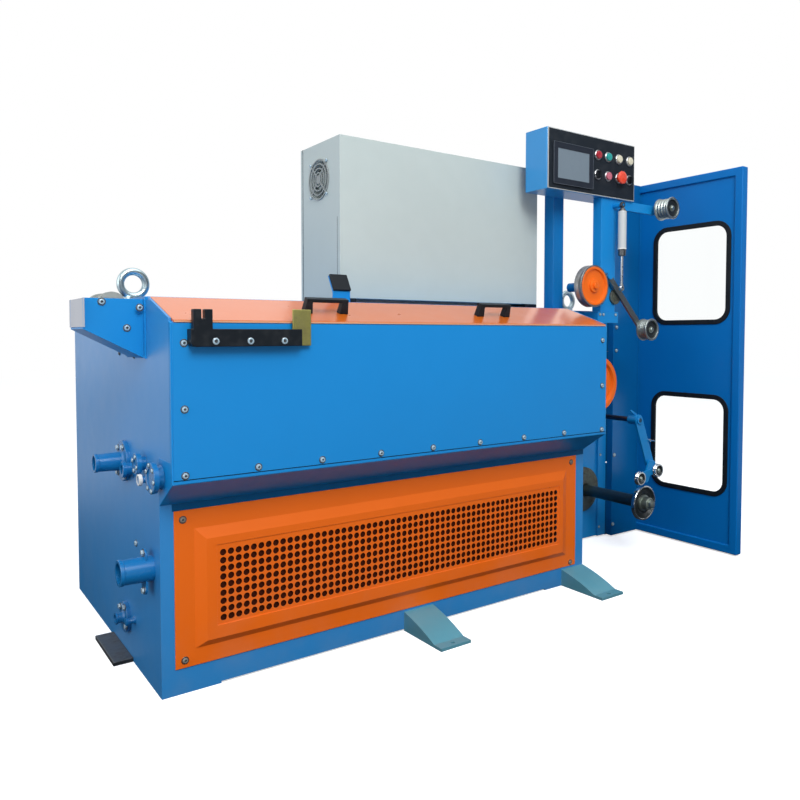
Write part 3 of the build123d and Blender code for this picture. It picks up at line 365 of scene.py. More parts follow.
def settle(piece, finish, body="frame", stands=()):
    # Moves a piece from the base corner's own measures to the frame, and hands it to its body
    piece.location = piece.location + baseCorner
    applyPlace(piece)
    if finish is not None:
        piece.data.materials.clear()
        piece.data.materials.append(finishes[finish])
    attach(piece, body)
    if stands:
        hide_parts(*stands)
    return piece


def spanOf(node):
    low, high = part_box(node)
    return low - baseCorner, high - baseCorner


def middleOf(node):
    low, high = spanOf(node)
    return (low + high) / 2


def frontCentreOf(node):
    # The middle of a wheel's or a roller's front face
    low, high = spanOf(node)
    return (low.x + high.x) / 2, low.y, (low.z + high.z) / 2


# Shared shader effects

def newGroup(name, inputs, outputs):
    group = bpy.data.node_groups.new(name, "ShaderNodeTree")
    for socketName, kind, value in inputs:
        socket = group.interface.new_socket(socketName, in_out="INPUT", socket_type=kind)
        socket.default_value = value
    for socketName, kind in outputs:
        group.interface.new_socket(socketName, in_out="OUTPUT", socket_type=kind)
    return group, group.nodes.new("NodeGroupInput"), group.nodes.new("NodeGroupOutput")


def mathNode(tree, operation, first, second=None, third=None, clamp=False):
    node = tree.nodes.new("ShaderNodeMath")
    node.operation = operation
    node.use_clamp = clamp
    for index, value in enumerate((first, second, third)):
        if value is None:
            continue
        if isinstance(value, (int, float)):
            node.inputs[index].default_value = value
        else:
            tree.links.new(value, node.inputs[index])
    return node.outputs[0]


def mixColor(tree, factor, first, second, blend="MIX"):
    node = tree.nodes.new("ShaderNodeMix")
    node.data_type = "RGBA"
    node.blend_type = blend
    node.clamp_factor = True
    for socket, value in ((node.inputs[0], factor), (node.inputs[6], first), (node.inputs[7], second)):
        if isinstance(value, (int, float, tuple)):
            socket.default_value = value
        else:
            tree.links.new(value, socket)
    return node.outputs[2]


def noise(tree, vector, scale, detail=2.0, roughness=0.5):
    node = tree.nodes.new("ShaderNodeTexNoise")
    tree.links.new(vector, node.inputs["Vector"])
    if isinstance(scale, (int, float)):
        node.inputs["Scale"].default_value = scale
    else:
        tree.links.new(scale, node.inputs["Scale"])
    node.inputs["Detail"].default_value = detail
    node.inputs["Roughness"].default_value = roughness
    return node.outputs["Fac"]


def ramp(tree, value, low, high):
    node = tree.nodes.new("ShaderNodeMapRange")
    node.interpolation_type = "SMOOTHSTEP"
    tree.links.new(value, node.inputs["Value"])
    node.inputs["From Min"].default_value = low
    node.inputs["From Max"].default_value = high
    return node.outputs["Result"]


def edgeMask(tree, radius):
    # Bright where a rounded normal leaves the flat one, so on the edges of the sheet metal
    bevel = tree.nodes.new("ShaderNodeBevel")
    bevel.samples = 4
    bevel.inputs["Radius"].default_value = radius
    geometry = tree.nodes.new("ShaderNodeNewGeometry")
    dot = tree.nodes.new("ShaderNodeVectorMath")
    dot.operation = "DOT_PRODUCT"
    tree.links.new(bevel.outputs["Normal"], dot.inputs[0])
    tree.links.new(geometry.outputs["Normal"], dot.inputs[1])
    return mathNode(tree, "SUBTRACT", 1.0, dot.outputs["Value"], clamp=True)


def buildPaintGroup():
    group, given, out = newGroup(
        "sprayedPaint",
        [
            ("Color", "NodeSocketColor", (0.5, 0.5, 0.5, 1.0)),
            ("Edge Tint Of Wear And Highlight", "NodeSocketColor", (0.6, 0.7, 0.8, 1.0)),
            ("Mottle", "NodeSocketFloat", 0.06),
            ("Edge Wear And Highlight", "NodeSocketFloat", 0.5),
            ("Gloss", "NodeSocketFloat", 0.35),
            ("Dust", "NodeSocketFloat", 0.15),
        ],
        [("Color", "NodeSocketColor"), ("Roughness", "NodeSocketFloat"), ("Height", "NodeSocketFloat")],
    )
    coords = group.nodes.new("ShaderNodeTexCoord").outputs["Object"]
    broad = noise(group, coords, 2.3, 3.0)
    middle = noise(group, coords, 17.0, 4.0)
    peel = noise(group, coords, 420.0, 2.0)
    spread = mathNode(group, "MULTIPLY_ADD", middle, 0.3, mathNode(group, "MULTIPLY", broad, 0.7))
    tone = mathNode(group, "MULTIPLY", mathNode(group, "SUBTRACT", spread, 0.5), given.outputs["Mottle"])
    brighter = group.nodes.new("ShaderNodeHueSaturation")
    group.links.new(given.outputs["Color"], brighter.inputs["Color"])
    group.links.new(mathNode(group, "MULTIPLY_ADD", tone, 2.0, 1.0), brighter.inputs["Value"])
    # Edges lighten in chips to the edge colour: edge wear, and a painted highlight along the edges
    edges = ramp(group, edgeMask(group, 0.0022), 0.02, 0.35)
    chips = ramp(group, noise(group, coords, 60.0, 5.0, 0.65), 0.42, 0.62)
    chipsAndHighlight = mathNode(group, "MULTIPLY", edges, chips)
    wornAndHighlit = mathNode(group, "MULTIPLY", chipsAndHighlight, given.outputs["Edge Wear And Highlight"])
    painted = mixColor(group, wornAndHighlit, brighter.outputs["Color"], given.outputs["Edge Tint Of Wear And Highlight"])
    height = group.nodes.new("ShaderNodeSeparateXYZ")
    group.links.new(coords, height.inputs[0])
    low = ramp(group, mathNode(group, "MULTIPLY", height.outputs["Z"], -1.0), -0.35, 0.0)
    patches = ramp(group, noise(group, coords, 7.0, 5.0, 0.6), 0.35, 0.75)
    dusty = mathNode(group, "MULTIPLY", mathNode(group, "MULTIPLY", low, patches), given.outputs["Dust"])
    group.links.new(mixColor(group, dusty, painted, (0.32, 0.31, 0.29, 1.0)), out.inputs["Color"])
    uneven = mathNode(group, "SUBTRACT", middle, 0.5)
    rough = mathNode(group, "MULTIPLY_ADD", uneven, 0.12, given.outputs["Gloss"])
    group.links.new(mathNode(group, "MULTIPLY_ADD", dusty, 0.5, rough, clamp=True), out.inputs["Roughness"])
    group.links.new(peel, out.inputs["Height"])
    return group


def buildMetalGroup():
    group, given, out = newGroup(
        "turnedMetal",
        [
            ("Color", "NodeSocketColor", (0.5, 0.5, 0.5, 1.0)),
            ("Stain", "NodeSocketColor", (0.12, 0.11, 0.10, 1.0)),
            ("Stain Amount", "NodeSocketFloat", 0.3),
            ("Polish", "NodeSocketFloat", 0.3),
            ("Grain", "NodeSocketFloat", 300.0),
        ],
        [("Color", "NodeSocketColor"), ("Roughness", "NodeSocketFloat"), ("Height", "NodeSocketFloat")],
    )
    coords = group.nodes.new("ShaderNodeTexCoord").outputs["Object"]
    stretch = group.nodes.new("ShaderNodeMapping")
    stretch.inputs["Scale"].default_value = (0.15, 1.0, 1.0)
    group.links.new(coords, stretch.inputs["Vector"])
    grain = noise(group, stretch.outputs[0], given.outputs["Grain"], 3.0)
    blotch = ramp(group, noise(group, coords, 26.0, 5.0, 0.6), 0.40, 0.72)
    stained = mathNode(group, "MULTIPLY", blotch, given.outputs["Stain Amount"])
    color = mixColor(group, stained, given.outputs["Color"], given.outputs["Stain"])
    group.links.new(color, out.inputs["Color"])
    uneven = mathNode(group, "SUBTRACT", grain, 0.5)
    rough = mathNode(group, "MULTIPLY_ADD", uneven, 0.3, given.outputs["Polish"])
    rougher = mathNode(group, "MULTIPLY_ADD", stained, 0.3, rough, clamp=True)
    group.links.new(rougher, out.inputs["Roughness"])
    group.links.new(grain, out.inputs["Height"])
    return group


def buildPlasticGroup():
    group, given, out = newGroup(
        "mouldedPlastic",
        [
            ("Color", "NodeSocketColor", (0.5, 0.5, 0.5, 1.0)),
            ("Rub And Highlight", "NodeSocketFloat", 0.2),
            ("Gloss", "NodeSocketFloat", 0.45),
        ],
        [("Color", "NodeSocketColor"), ("Roughness", "NodeSocketFloat"), ("Height", "NodeSocketFloat")],
    )
    coords = group.nodes.new("ShaderNodeTexCoord").outputs["Object"]
    texture = noise(group, coords, 900.0, 2.0)
    rubs = ramp(group, noise(group, coords, 40.0, 4.0), 0.45, 0.7)
    # Edges and rubs lift towards grey: rubbed wear, and a painted highlight on the edges
    edges = ramp(group, edgeMask(group, 0.0012), 0.02, 0.4)
    wornAndHighlit = mathNode(group, "MAXIMUM", edges, mathNode(group, "MULTIPLY", rubs, 0.3))
    amount = mathNode(group, "MULTIPLY", wornAndHighlit, given.outputs["Rub And Highlight"])
    lifted = mixColor(group, 0.5, given.outputs["Color"], (0.5, 0.5, 0.5, 1.0))
    group.links.new(mixColor(group, amount, given.outputs["Color"], lifted), out.inputs["Color"])
    uneven = mathNode(group, "SUBTRACT", rubs, 0.5)
    rough = mathNode(group, "MULTIPLY_ADD", uneven, 0.15, given.outputs["Gloss"], clamp=True)
    group.links.new(rough, out.inputs["Roughness"])
    group.links.new(texture, out.inputs["Height"])
    return group


groups = {"paint": buildPaintGroup(), "metal": buildMetalGroup(), "plastic": buildPlasticGroup()}


def finishMaterial(name, effect, values, bump=0.02, metallic=0.0, coat=0.0, specular=0.5, veil=0.18):
    material = bpy.data.materials.new(name)
    material.use_nodes = True
    tree = material.node_tree
    shader = tree.nodes["Principled BSDF"]
    effectNode = tree.nodes.new("ShaderNodeGroup")
    effectNode.node_tree = groups[effect]
    for socketName, value in values.items():
        effectNode.inputs[socketName].default_value = value
    tree.links.new(effectNode.outputs["Color"], shader.inputs["Base Color"])
    tree.links.new(effectNode.outputs["Roughness"], shader.inputs["Roughness"])
    bumpNode = tree.nodes.new("ShaderNodeBump")
    bumpNode.inputs["Strength"].default_value = bump
    bumpNode.inputs["Distance"].default_value = 0.0006
    tree.links.new(effectNode.outputs["Height"], bumpNode.inputs["Height"])
    tree.links.new(bumpNode.outputs["Normal"], shader.inputs["Normal"])
    shader.inputs["Metallic"].default_value = metallic
    shader.inputs["Coat Weight"].default_value = coat
    shader.inputs["Coat Roughness"].default_value = veil
    shader.inputs["Specular IOR Level"].default_value = specular
    return material


def paint(name, color, edge=(0.35, 0.50, 0.65), mottle=0.05, edgeWearAndHighlight=0.3, gloss=0.36, dust=0.10,
          coat=0.0, specular=0.5, veil=0.18):
    values = {
        "Color": (*color, 1.0), "Edge Tint Of Wear And Highlight": (*edge, 1.0), "Mottle": mottle,
        "Edge Wear And Highlight": edgeWearAndHighlight, "Gloss": gloss, "Dust": dust,
    }
    return finishMaterial(name, "paint", values, bump=0.05, coat=coat, specular=specular, veil=veil)


def metal(name, color, polish=0.3, stain=0.3, grain=300.0, bump=0.05):
    values = {"Color": (*color, 1.0), "Polish": polish, "Stain Amount": stain, "Grain": grain}
    return finishMaterial(name, "metal", values, bump=bump, metallic=1.0)


def plastic(name, color, gloss=0.45, rubAndHighlight=0.25, bump=0.04, coat=0.0, specular=0.5):
    values = {"Color": (*color, 1.0), "Gloss": gloss, "Rub And Highlight": rubAndHighlight}
    return finishMaterial(name, "plastic", values, bump=bump, coat=coat, specular=specular)


# Lighter orange for edges: chipped wear and painted edge highlight
orangeEdgeWearAndHighlight = (0.9, 0.5, 0.3)

finishes = {
    "bluePaint": paint("bluePaint", (0.006, 0.220, 0.570), edgeWearAndHighlight=0.12, specular=0.25),
    # A darker copy of the blue paint: painted shade over the side guard's sheet and lips
    "guardBluePaintedShade": paint("guardBluePaintedShade", (0.001, 0.145, 0.460), edgeWearAndHighlight=0.12, dust=0.0, specular=0.2),
    # A darker copy of the blue paint: painted shade on the guard's return and the guide wheel's arbor
    "returnBluePaintedShade": paint("returnBluePaintedShade", (0.001, 0.105, 0.310), edgeWearAndHighlight=0.12, dust=0.0, specular=0.2),
    # A darker copy of the blue paint: painted shade on the left column
    "columnBluePaintedShade": paint("columnBluePaintedShade", (0.004, 0.150, 0.420), edgeWearAndHighlight=0.12, specular=0.25),
    "consoleBlue": paint("consoleBlue", (0.020, 0.245, 0.570), edgeWearAndHighlight=0.12, coat=0.6, specular=0.3),
    # A pale orange for the lid's front hem: painted highlight along the fold
    "lidEdgeHighlight": paint("lidEdgeHighlight", (0.66, 0.33, 0.19), edge=orangeEdgeWearAndHighlight, edgeWearAndHighlight=0.0, coat=0.5),
    "armBlue": paint("armBlue", (0.002, 0.195, 0.500), edgeWearAndHighlight=0.12, specular=0.3),
    # A darker, glossier copy of the blue paint: painted shade on the pipe ports
    "portBluePaintedShade": paint("portBluePaintedShade", (0.004, 0.150, 0.400), edgeWearAndHighlight=0.12, gloss=0.28, coat=0.2, specular=0.4),
    "endBlue": paint("endBlue", (0.024, 0.225, 0.555), edgeWearAndHighlight=0.12, coat=0.5, specular=0.3, veil=0.5),
    # Dark blue that stands for shade: painted shade on the hinges, the guard's knuckles and the strip under
    # the step
    "paintedShadeBlue": paint("paintedShadeBlue", (0.001, 0.070, 0.190), edgeWearAndHighlight=0.0, specular=0.1),
    # A pale grey-blue for the bracket's side: painted highlight
    "paintedHighlightPale": paint("paintedHighlightPale", (0.34, 0.36, 0.42), edge=(0.4, 0.4, 0.45), edgeWearAndHighlight=0.0, coat=0.3),
    "orangePaint": paint("orangePaint", (0.80, 0.140, 0.008), edge=orangeEdgeWearAndHighlight, edgeWearAndHighlight=0.15, specular=0.25),
    "lidOrange": paint("lidOrange", (0.62, 0.130, 0.008), edge=orangeEdgeWearAndHighlight, edgeWearAndHighlight=0.1, gloss=0.30, coat=0.7),
    "greyPaint": paint("greyPaint", (0.430, 0.500, 0.492), edge=(0.75, 0.78, 0.78), edgeWearAndHighlight=0.15, mottle=0.10),
    "tealPaint": paint("tealPaint", (0.085, 0.285, 0.37), edge=(0.35, 0.42, 0.42), mottle=0.2, edgeWearAndHighlight=0.8),
    "damperGrey": paint("damperGrey", (0.50, 0.53, 0.54), edge=(0.7, 0.7, 0.7), gloss=0.5, mottle=0.1),
    "paleRing": plastic("paleRing", (0.75, 0.75, 0.72), gloss=0.5),
    "brightSteel": metal("brightSteel", (0.62, 0.64, 0.66), polish=0.28),
    "rollerSteel": metal("rollerSteel", (0.34, 0.38, 0.37), polish=0.42, stain=0.15),
    "screwSteel": plastic("screwSteel", (0.32, 0.44, 0.52), gloss=0.22, rubAndHighlight=0.0, coat=0.8),
    "chrome": metal("chrome", (0.72, 0.76, 0.78), polish=0.14, stain=0.1, bump=0.0),
    "hubSteel": metal("hubSteel", (0.44, 0.50, 0.45), polish=0.34, stain=0.3),
    "darkDish": plastic("darkDish", (0.012, 0.016, 0.018), gloss=0.5, rubAndHighlight=0.1, specular=0.3),
    "rodSteel": metal("rodSteel", (0.045, 0.090, 0.150), polish=0.35, stain=0.2),
    "shaftSteel": metal("shaftSteel", (0.095, 0.130, 0.130), polish=0.4, stain=0.2),
    "armSteel": metal("armSteel", (0.24, 0.27, 0.28), polish=0.38, stain=0.3),
    "eyeSteel": metal("eyeSteel", (0.50, 0.62, 0.66), polish=0.30, stain=0.2, grain=90.0, bump=0.3),
    "sheaveGrey": metal("sheaveGrey", (0.42, 0.45, 0.43), polish=0.5, stain=0.4),
    "stainedSteel": plastic("stainedSteel", (0.20, 0.19, 0.17), gloss=0.35, rubAndHighlight=0.3, coat=0.3),
    "wornSteel": metal("wornSteel", (0.34, 0.35, 0.36), polish=0.42, stain=0.55),
    "darkSteel": metal("darkSteel", (0.13, 0.14, 0.15), polish=0.42, stain=0.5),
    "castSteel": metal("castSteel", (0.20, 0.22, 0.18), polish=0.6, stain=0.6, grain=120.0, bump=0.2),
    "brass": metal("brass", (0.42, 0.39, 0.13), polish=0.46, stain=0.35),
    "blackPlastic": plastic("blackPlastic", (0.007, 0.010, 0.014), rubAndHighlight=0.08, specular=0.2),
    "fasciaDark": plastic("fasciaDark", (0.010, 0.015, 0.022), gloss=0.55, rubAndHighlight=0.08, specular=0.2),
    "ringGrey": plastic("ringGrey", (0.060, 0.075, 0.095), gloss=0.5, rubAndHighlight=0.0, specular=0.3),
    "bezelGrey": plastic("bezelGrey", (0.016, 0.021, 0.032), gloss=0.5, rubAndHighlight=0.05, specular=0.2),
    "paleTrim": plastic("paleTrim", (0.42, 0.44, 0.44), gloss=0.5, rubAndHighlight=0.0),
    "fanPale": plastic("fanPale", (0.42, 0.50, 0.47), gloss=0.4, rubAndHighlight=0.2),
    "fanWire": plastic("fanWire", (0.22, 0.25, 0.25), gloss=0.35, rubAndHighlight=0.2),
    "rubber": plastic("rubber", (0.005, 0.008, 0.012), gloss=0.6, rubAndHighlight=0.05, specular=0.2),
    # Near black blue: painted shade in seams and gaps
    "paintedSeamShade": plastic("paintedSeamShade", (0.006, 0.012, 0.022), gloss=0.8, rubAndHighlight=0.0, specular=0.1),
    # Near black with a red cast: painted shade behind the vent holes
    "paintedShadeInside": plastic("paintedShadeInside", (0.045, 0.008, 0.003), gloss=0.8, rubAndHighlight=0.0, specular=0.1),
    "redPlastic": plastic("redPlastic", (0.72, 0.055, 0.020), gloss=0.3, coat=0.3),
    "redLamp": plastic("redLamp", (0.36, 0.015, 0.030), gloss=0.25, coat=0.4),
    "pinkLamp": plastic("pinkLamp", (0.50, 0.13, 0.18), gloss=0.3, coat=0.4),
    "tealLamp": plastic("tealLamp", (0.02, 0.30, 0.28), gloss=0.25, coat=0.3),
    "creamPlastic": plastic("creamPlastic", (0.60, 0.57, 0.44), gloss=0.4),
    "screenGlass": plastic("screenGlass", (0.145, 0.190, 0.230), gloss=0.6, rubAndHighlight=0.0, bump=0.0),
}


def buildPaneMaterial():
    material = bpy.data.materials.new("clearPane")
    material.use_nodes = True
    shader = material.node_tree.nodes["Principled BSDF"]
    shader.inputs["Base Color"].default_value = (0.97, 0.99, 0.99, 1.0)
    shader.inputs["Roughness"].default_value = 0.03
    shader.inputs["IOR"].default_value = 1.1
    shader.inputs["Transmission Weight"].default_value = 1.0
    return material


finishes["clearPane"] = buildPaneMaterial()

nodeFinish = {
    "bluePaint": (
        "front_panel", "deck", "lid_rest", "inlet_bracket", "takeup_frame", "column_shelf",
        "right_column", "upper_arm", "column_brackets",
    ),
    # The guard's return and the guide wheel's arbor are darkened with painted shade
    "returnBluePaintedShade": ("guard_return", "guide_arbor"),
    # The left column is darkened with painted shade
    "columnBluePaintedShade": ("left_column",),
    "endBlue": ("end_plates", "lower_housing", "rear_housing"),
    # The hinges and the guard's knuckles get painted shade
    "paintedShadeBlue": ("fixed_hinges", "guard_knuckles"),
    "consoleBlue": ("console_housing",),
    "lidOrange": ("lid",),
    "greyPaint": ("cabinet_body", "cabinet_door"),
    "tealPaint": ("front_feet",),
    "blackPlastic": ("guide_bar", "cabinet_feet"),
    "bezelGrey": ("screen_bezel",),
    "paleTrim": ("console_fascia",),
    "fanWire": ("fan_guard",),
    "eyeSteel": ("lifting_eyes",),
    "rubber": ("rest_pad",),
    "darkSteel": ("end_foot", "fan_rotor"),
    "castSteel": ("shaft_bearings",),
    "sheaveGrey": ("inlet_sheaves",),
    "brass": ("brass_plate",),
    "screenGlass": ("screen_glass",),
}


def dressNodes():
    for finishName, nodeNames in nodeFinish.items():
        for nodeName in nodeNames:
            nodes[nodeName].data.materials.clear()
            nodes[nodeName].data.materials.append(finishes[finishName])


# Housings, cabinet, lid and columns stay as the CAD solids. Their folded edges get a small radius

foldedSheets = {
    "radius": 0.0016,
    "segments": 2,
    "nodes": (
        "front_panel", "deck", "takeup_frame", "column_shelf", "left_column", "right_column",
        "console_housing", "guard_return", "cabinet_body", "cabinet_door", "lid", "inlet_bracket",
        "brass_plate", "guide_bar", "end_foot", "rest_pad", "lid_rest", "cabinet_feet",
    ),
}


def softenFolds():
    for nodeName in foldedSheets["nodes"]:
        node = nodes[nodeName]
        weld = node.modifiers.new("weld", "WELD")
        weld.merge_threshold = 0.00001
        flatten = node.modifiers.new("flatten", "DECIMATE")
        flatten.decimate_type = "DISSOLVE"
        flatten.angle_limit = radians(1)
        fold = node.modifiers.new("fold", "BEVEL")
        fold.width = foldedSheets["radius"]
        fold.segments = foldedSheets["segments"]
        fold.limit_method = "ANGLE"
        fold.angle_limit = radians(28)
        fold.harden_normals = False


# Perforated front cover

ventCover = {
    "holeRadius": 0.0087,
    "holeSides": 12,
    "pitch": 0.021,
    "firstHole": (0.156, 0.176),
    "holes": (59, 9),
    "sheet": 0.0012,
    "fieldHeight": 0.0120,
    "recess": ((0.1395, 0.1595), (1.3905, 0.3655)),
    "lip": ((0.1385, 0.1585), (1.3915, 0.3665)),
    "plateau": ((0.112, 0.126), (1.410, 0.386)),
    "plateauHeight": 0.0145,
    "slopeFoot": ((0.084, 0.109), (1.438, 0.414)),
    "plateHeight": 0.003,
    "rim": 0.0008,
    "shadowBacking": (-0.0045, -0.0020),
}


def stepLoop(piece, corners, newCorners, height, newHeight):
    # Extrudes the selected outline to the next rectangle, as one fold of a pressed sheet
    (left, bottom), (right, top) = corners
    (newLeft, newBottom), (newRight, newTop) = newCorners
    across = (newLeft + newRight - left - right) / 2
    upwards = (newBottom + newTop - bottom - top) / 2
    bpy.ops.mesh.extrude_edges_move(
        TRANSFORM_OT_translate={"value": (across, upwards, newHeight - height)})
    bpy.ops.transform.resize(
        value=((newRight - newLeft) / (right - left), (newTop - newBottom) / (top - bottom), 1),
        center_override=((newLeft + newRight) / 2, (newBottom + newTop) / 2, newHeight),
    )


def makeVentCover():
    plan = ventCover
    clearSelection()
    bpy.ops.mesh.primitive_circle_add(
        vertices=plan["holeSides"], radius=plan["holeRadius"], fill_type="NOTHING",
        rotation=(0, 0, radians(15)), location=(*plan["firstHole"], plan["fieldHeight"]))
    cover = bpy.context.object
    cover.name = "ventCover"
    applyPlace(cover)
    half = plan["pitch"] / 2
    middle = Vector((*plan["firstHole"], plan["fieldHeight"]))
    startEdit(cover, "EDGE")
    bpy.ops.mesh.select_all(action="SELECT")
    bpy.ops.mesh.extrude_edges_move(TRANSFORM_OT_translate={"value": (0, 0, 0)})
    grow = half * 2 ** 0.5 / plan["holeRadius"]
    bpy.ops.transform.resize(value=(grow, grow, 1), center_override=middle)
    for axis in (0, 1):
        for side in (-1, 1):
            # The square's sides are pressed flat, as with scale to zero by hand
            pickVerts(cover, lambda co: side * (co[axis] - middle[axis]) > half * 0.98)
            flat = [1, 1, 1]
            flat[axis] = 0
            centre = middle.copy()
            centre[axis] += side * half
            bpy.ops.transform.resize(value=flat, center_override=centre)
    pickVerts(cover, lambda co: (co - middle).length < plan["holeRadius"] * 1.05)
    bpy.ops.mesh.extrude_edges_move(TRANSFORM_OT_translate={"value": (0, 0, -plan["sheet"])})
    bpy.ops.mesh.select_all(action="SELECT")
    bpy.ops.mesh.normals_make_consistent(inside=False)
    bpy.ops.object.mode_set(mode="OBJECT")
    for axis, count in enumerate(plan["holes"]):
        row = cover.modifiers.new("row", "ARRAY")
        row.count = count
        row.use_relative_offset = False
        row.use_constant_offset = True
        row.constant_offset_displace = [plan["pitch"] if index == axis else 0 for index in range(3)]
        row.use_merge_vertices = True
        row.merge_threshold = 0.0001
        makeOnly(cover)
        bpy.ops.object.modifier_apply(modifier=row.name)
    columns, rows = plan["holes"]
    field = (
        (middle.x - half, middle.y - half),
        (middle.x + half + (columns - 1) * plan["pitch"], middle.y + half + (rows - 1) * plan["pitch"]),
    )
    low, high = spanOf("vent_cover")
    rim = plan["rim"]
    outline = ((low.x, low.z), (high.x, high.z))
    inside = ((low.x + rim, low.z + rim), (high.x - rim, high.z - rim))
    folds = (
        (field, plan["fieldHeight"]),
        (plan["recess"], plan["fieldHeight"]),
        (plan["lip"], plan["plateauHeight"]),
        (plan["plateau"], plan["plateauHeight"]),
        (plan["slopeFoot"], plan["plateHeight"]),
        (inside, plan["plateHeight"]),
        (outline, plan["plateHeight"] - rim),
        (outline, 0.0),
    )
    startEdit(cover, "EDGE")
    pickEdges(cover, lambda edge: edge.is_boundary and all(
        vert.co.z > plan["fieldHeight"] - 0.0001 for vert in edge.verts))
    for (corners, height), (newCorners, newHeight) in zip(folds, folds[1:]):
        stepLoop(cover, corners, newCorners, height, newHeight)
    bpy.ops.mesh.select_all(action="SELECT")
    bpy.ops.mesh.remove_doubles(threshold=0.00002)
    bpy.ops.mesh.normals_make_consistent(inside=False)
    endEdit(cover, 12)
    turnTo(cover, "front", (0, 0, 0))
    settle(cover, "orangePaint", "frame", ["vent_cover"])
    # A near-black box behind the holes: painted shade seen through them
    front, back = plan["shadowBacking"]
    shadowBacking = softBox("ventShadowBacking", (field[0][0], front, field[0][1]), (field[1][0], back, field[1][1]))
    settle(shadowBacking, "paintedShadeInside", "frame")


# Front sheet over the panel, with its seam: a dark strip of painted shadow under the sheet's lower edge

frontSheet = {
    "sides": (0.004, 1.526), "bottom": 0.5585, "top": 0.925, "proud": 0.002, "gap": 0.0002,
    "seam": 0.0022, "seamProud": 0.0006, "seamSunk": 0.001,
}


def makeFrontSheet():
    plan = frontSheet
    face = spanOf("front_panel")[0].y
    left, right = plan["sides"]
    sheet = softBox(
        "frontSheet", (left, face - plan["proud"], plan["bottom"]),
        (right, face - plan["gap"], plan["top"]))
    settle(sheet, "bluePaint", "frame")
    seam = softBox(
        "frontSeamShadow", (left, face - plan["seamProud"], plan["bottom"] - plan["seam"]),
        (right, face + plan["seamSunk"], plan["bottom"] + plan["gap"]))
    settle(seam, "paintedSeamShade", "frame")


# Painted plates on the housing: a painted shadow strip under the step, and a painted highlight on the
# bracket's bright side

housingPlates = {
    "stepPaintedShadow": {
        "low": (0.030, -0.0012, 0.4632), "high": (1.528, -0.0001, 0.4812),
        "finish": "paintedShadeBlue", "rounding": 0.0002,
    },
    "bracketPaintedHighlight": {
        "low": (-0.1450, 0.0915, 0.9170), "high": (-0.1440, 0.2685, 0.9875),
        "finish": "paintedHighlightPale", "rounding": 0.0001,
    },
}


def makeHousingPlates():
    for name, plan in housingPlates.items():
        plate = softBox(name, plan["low"], plan["high"], plan["rounding"])
        settle(plate, plan["finish"], "frame")


# Lid handles, and the lid's hem along its front edge

lidHandle = {
    "halfSpan": 0.046, "leg": 0.018, "bar": 0.010, "height": 0.041, "depth": 0.020, "rounding": 0.0017,
    "spread": 1.5, "spreadCentre": 0.055, "places": (0.444, 1.054), "lidSlope": 18.6,
}

lidHem = {"ends": 0.001, "proud": 0.0003, "sunk": 0.0005, "heights": (0.0002, 0.0042), "rounding": 0.0002}


def makeLidHandles():
    plan = lidHandle
    half = plan["halfSpan"] + plan["leg"]
    clearSelection()
    bpy.ops.mesh.primitive_cube_add(size=1, location=(0, 0, plan["height"] - plan["bar"] / 2))
    handle = bpy.context.object
    handle.name = "lidHandles"
    handle.scale = (2 * half, plan["depth"], plan["bar"])
    applyPlace(handle)
    startEdit(handle)
    for side in (-1, 1):
        bpy.ops.mesh.select_all(action="SELECT")
        bpy.ops.mesh.bisect(plane_co=(side * plan["halfSpan"], 0, 0), plane_no=(1, 0, 0))
    pickFaces(handle, lambda co, normal: abs(co.x) > plan["halfSpan"] and normal.z < -0.9)
    down = plan["height"] - plan["bar"]
    bpy.ops.mesh.extrude_region_move(TRANSFORM_OT_translate={"value": (0, 0, -down)})
    for side in (-1, 1):
        # Each leg spreads towards its foot
        pickFaces(handle, lambda co, normal: side * co.x > 0 and normal.z < -0.9 and co.z < 0.001)
        bpy.ops.transform.resize(
            value=(plan["spread"], 1, 1), center_override=(side * plan["spreadCentre"], 0, 0))
    bpy.ops.mesh.select_all(action="SELECT")
    bpy.ops.mesh.bevel(offset=plan["rounding"], segments=2, affect="EDGES")
    evenNormals(endEdit(handle))
    low, high = spanOf("lid_handles")
    slope = radians(plan["lidSlope"])
    rise = (high.z - low.z - plan["height"] * cos(slope)) / 2
    place = high.y - plan["depth"] * cos(slope) / 2
    handle.rotation_euler = (slope, 0, 0)
    applyPlace(handle)
    handle = copied(handle, [(x, place, low.z + rise) for x in plan["places"]])
    settle(handle, "blackPlastic", "lid", ["lid_handles"])


def makeLidHem():
    plan = lidHem
    low, high = spanOf("lid")
    bottom, top = plan["heights"]
    hem = softBox(
        "lidHem", (low.x + plan["ends"], low.y - plan["proud"], low.z + bottom),
        (high.x - plan["ends"], low.y + plan["sunk"], low.z + top), plan["rounding"])
    # The hem is pale: a painted highlight along the lid's front edge
    settle(hem, "lidEdgeHighlight", "lid")


# Screws, bolts and washers

screwShapes = {
    "button": {"head": 0.0074, "rise": 0.0040, "washer": 0.0098, "washerRise": 0.0008, "socket": 0.0034},
    "cap": {"head": 0.0082, "rise": 0.0022, "washer": 0.0090, "washerRise": 0.0006, "socket": 0.0050},
    "small": {"head": 0.0052, "rise": 0.0028, "washer": 0.0066, "washerRise": 0.0006, "socket": 0.0024},
    "hex": {"head": 0.0072, "rise": 0.0055, "washer": 0.0096, "washerRise": 0.0010, "socket": 0.0},
}

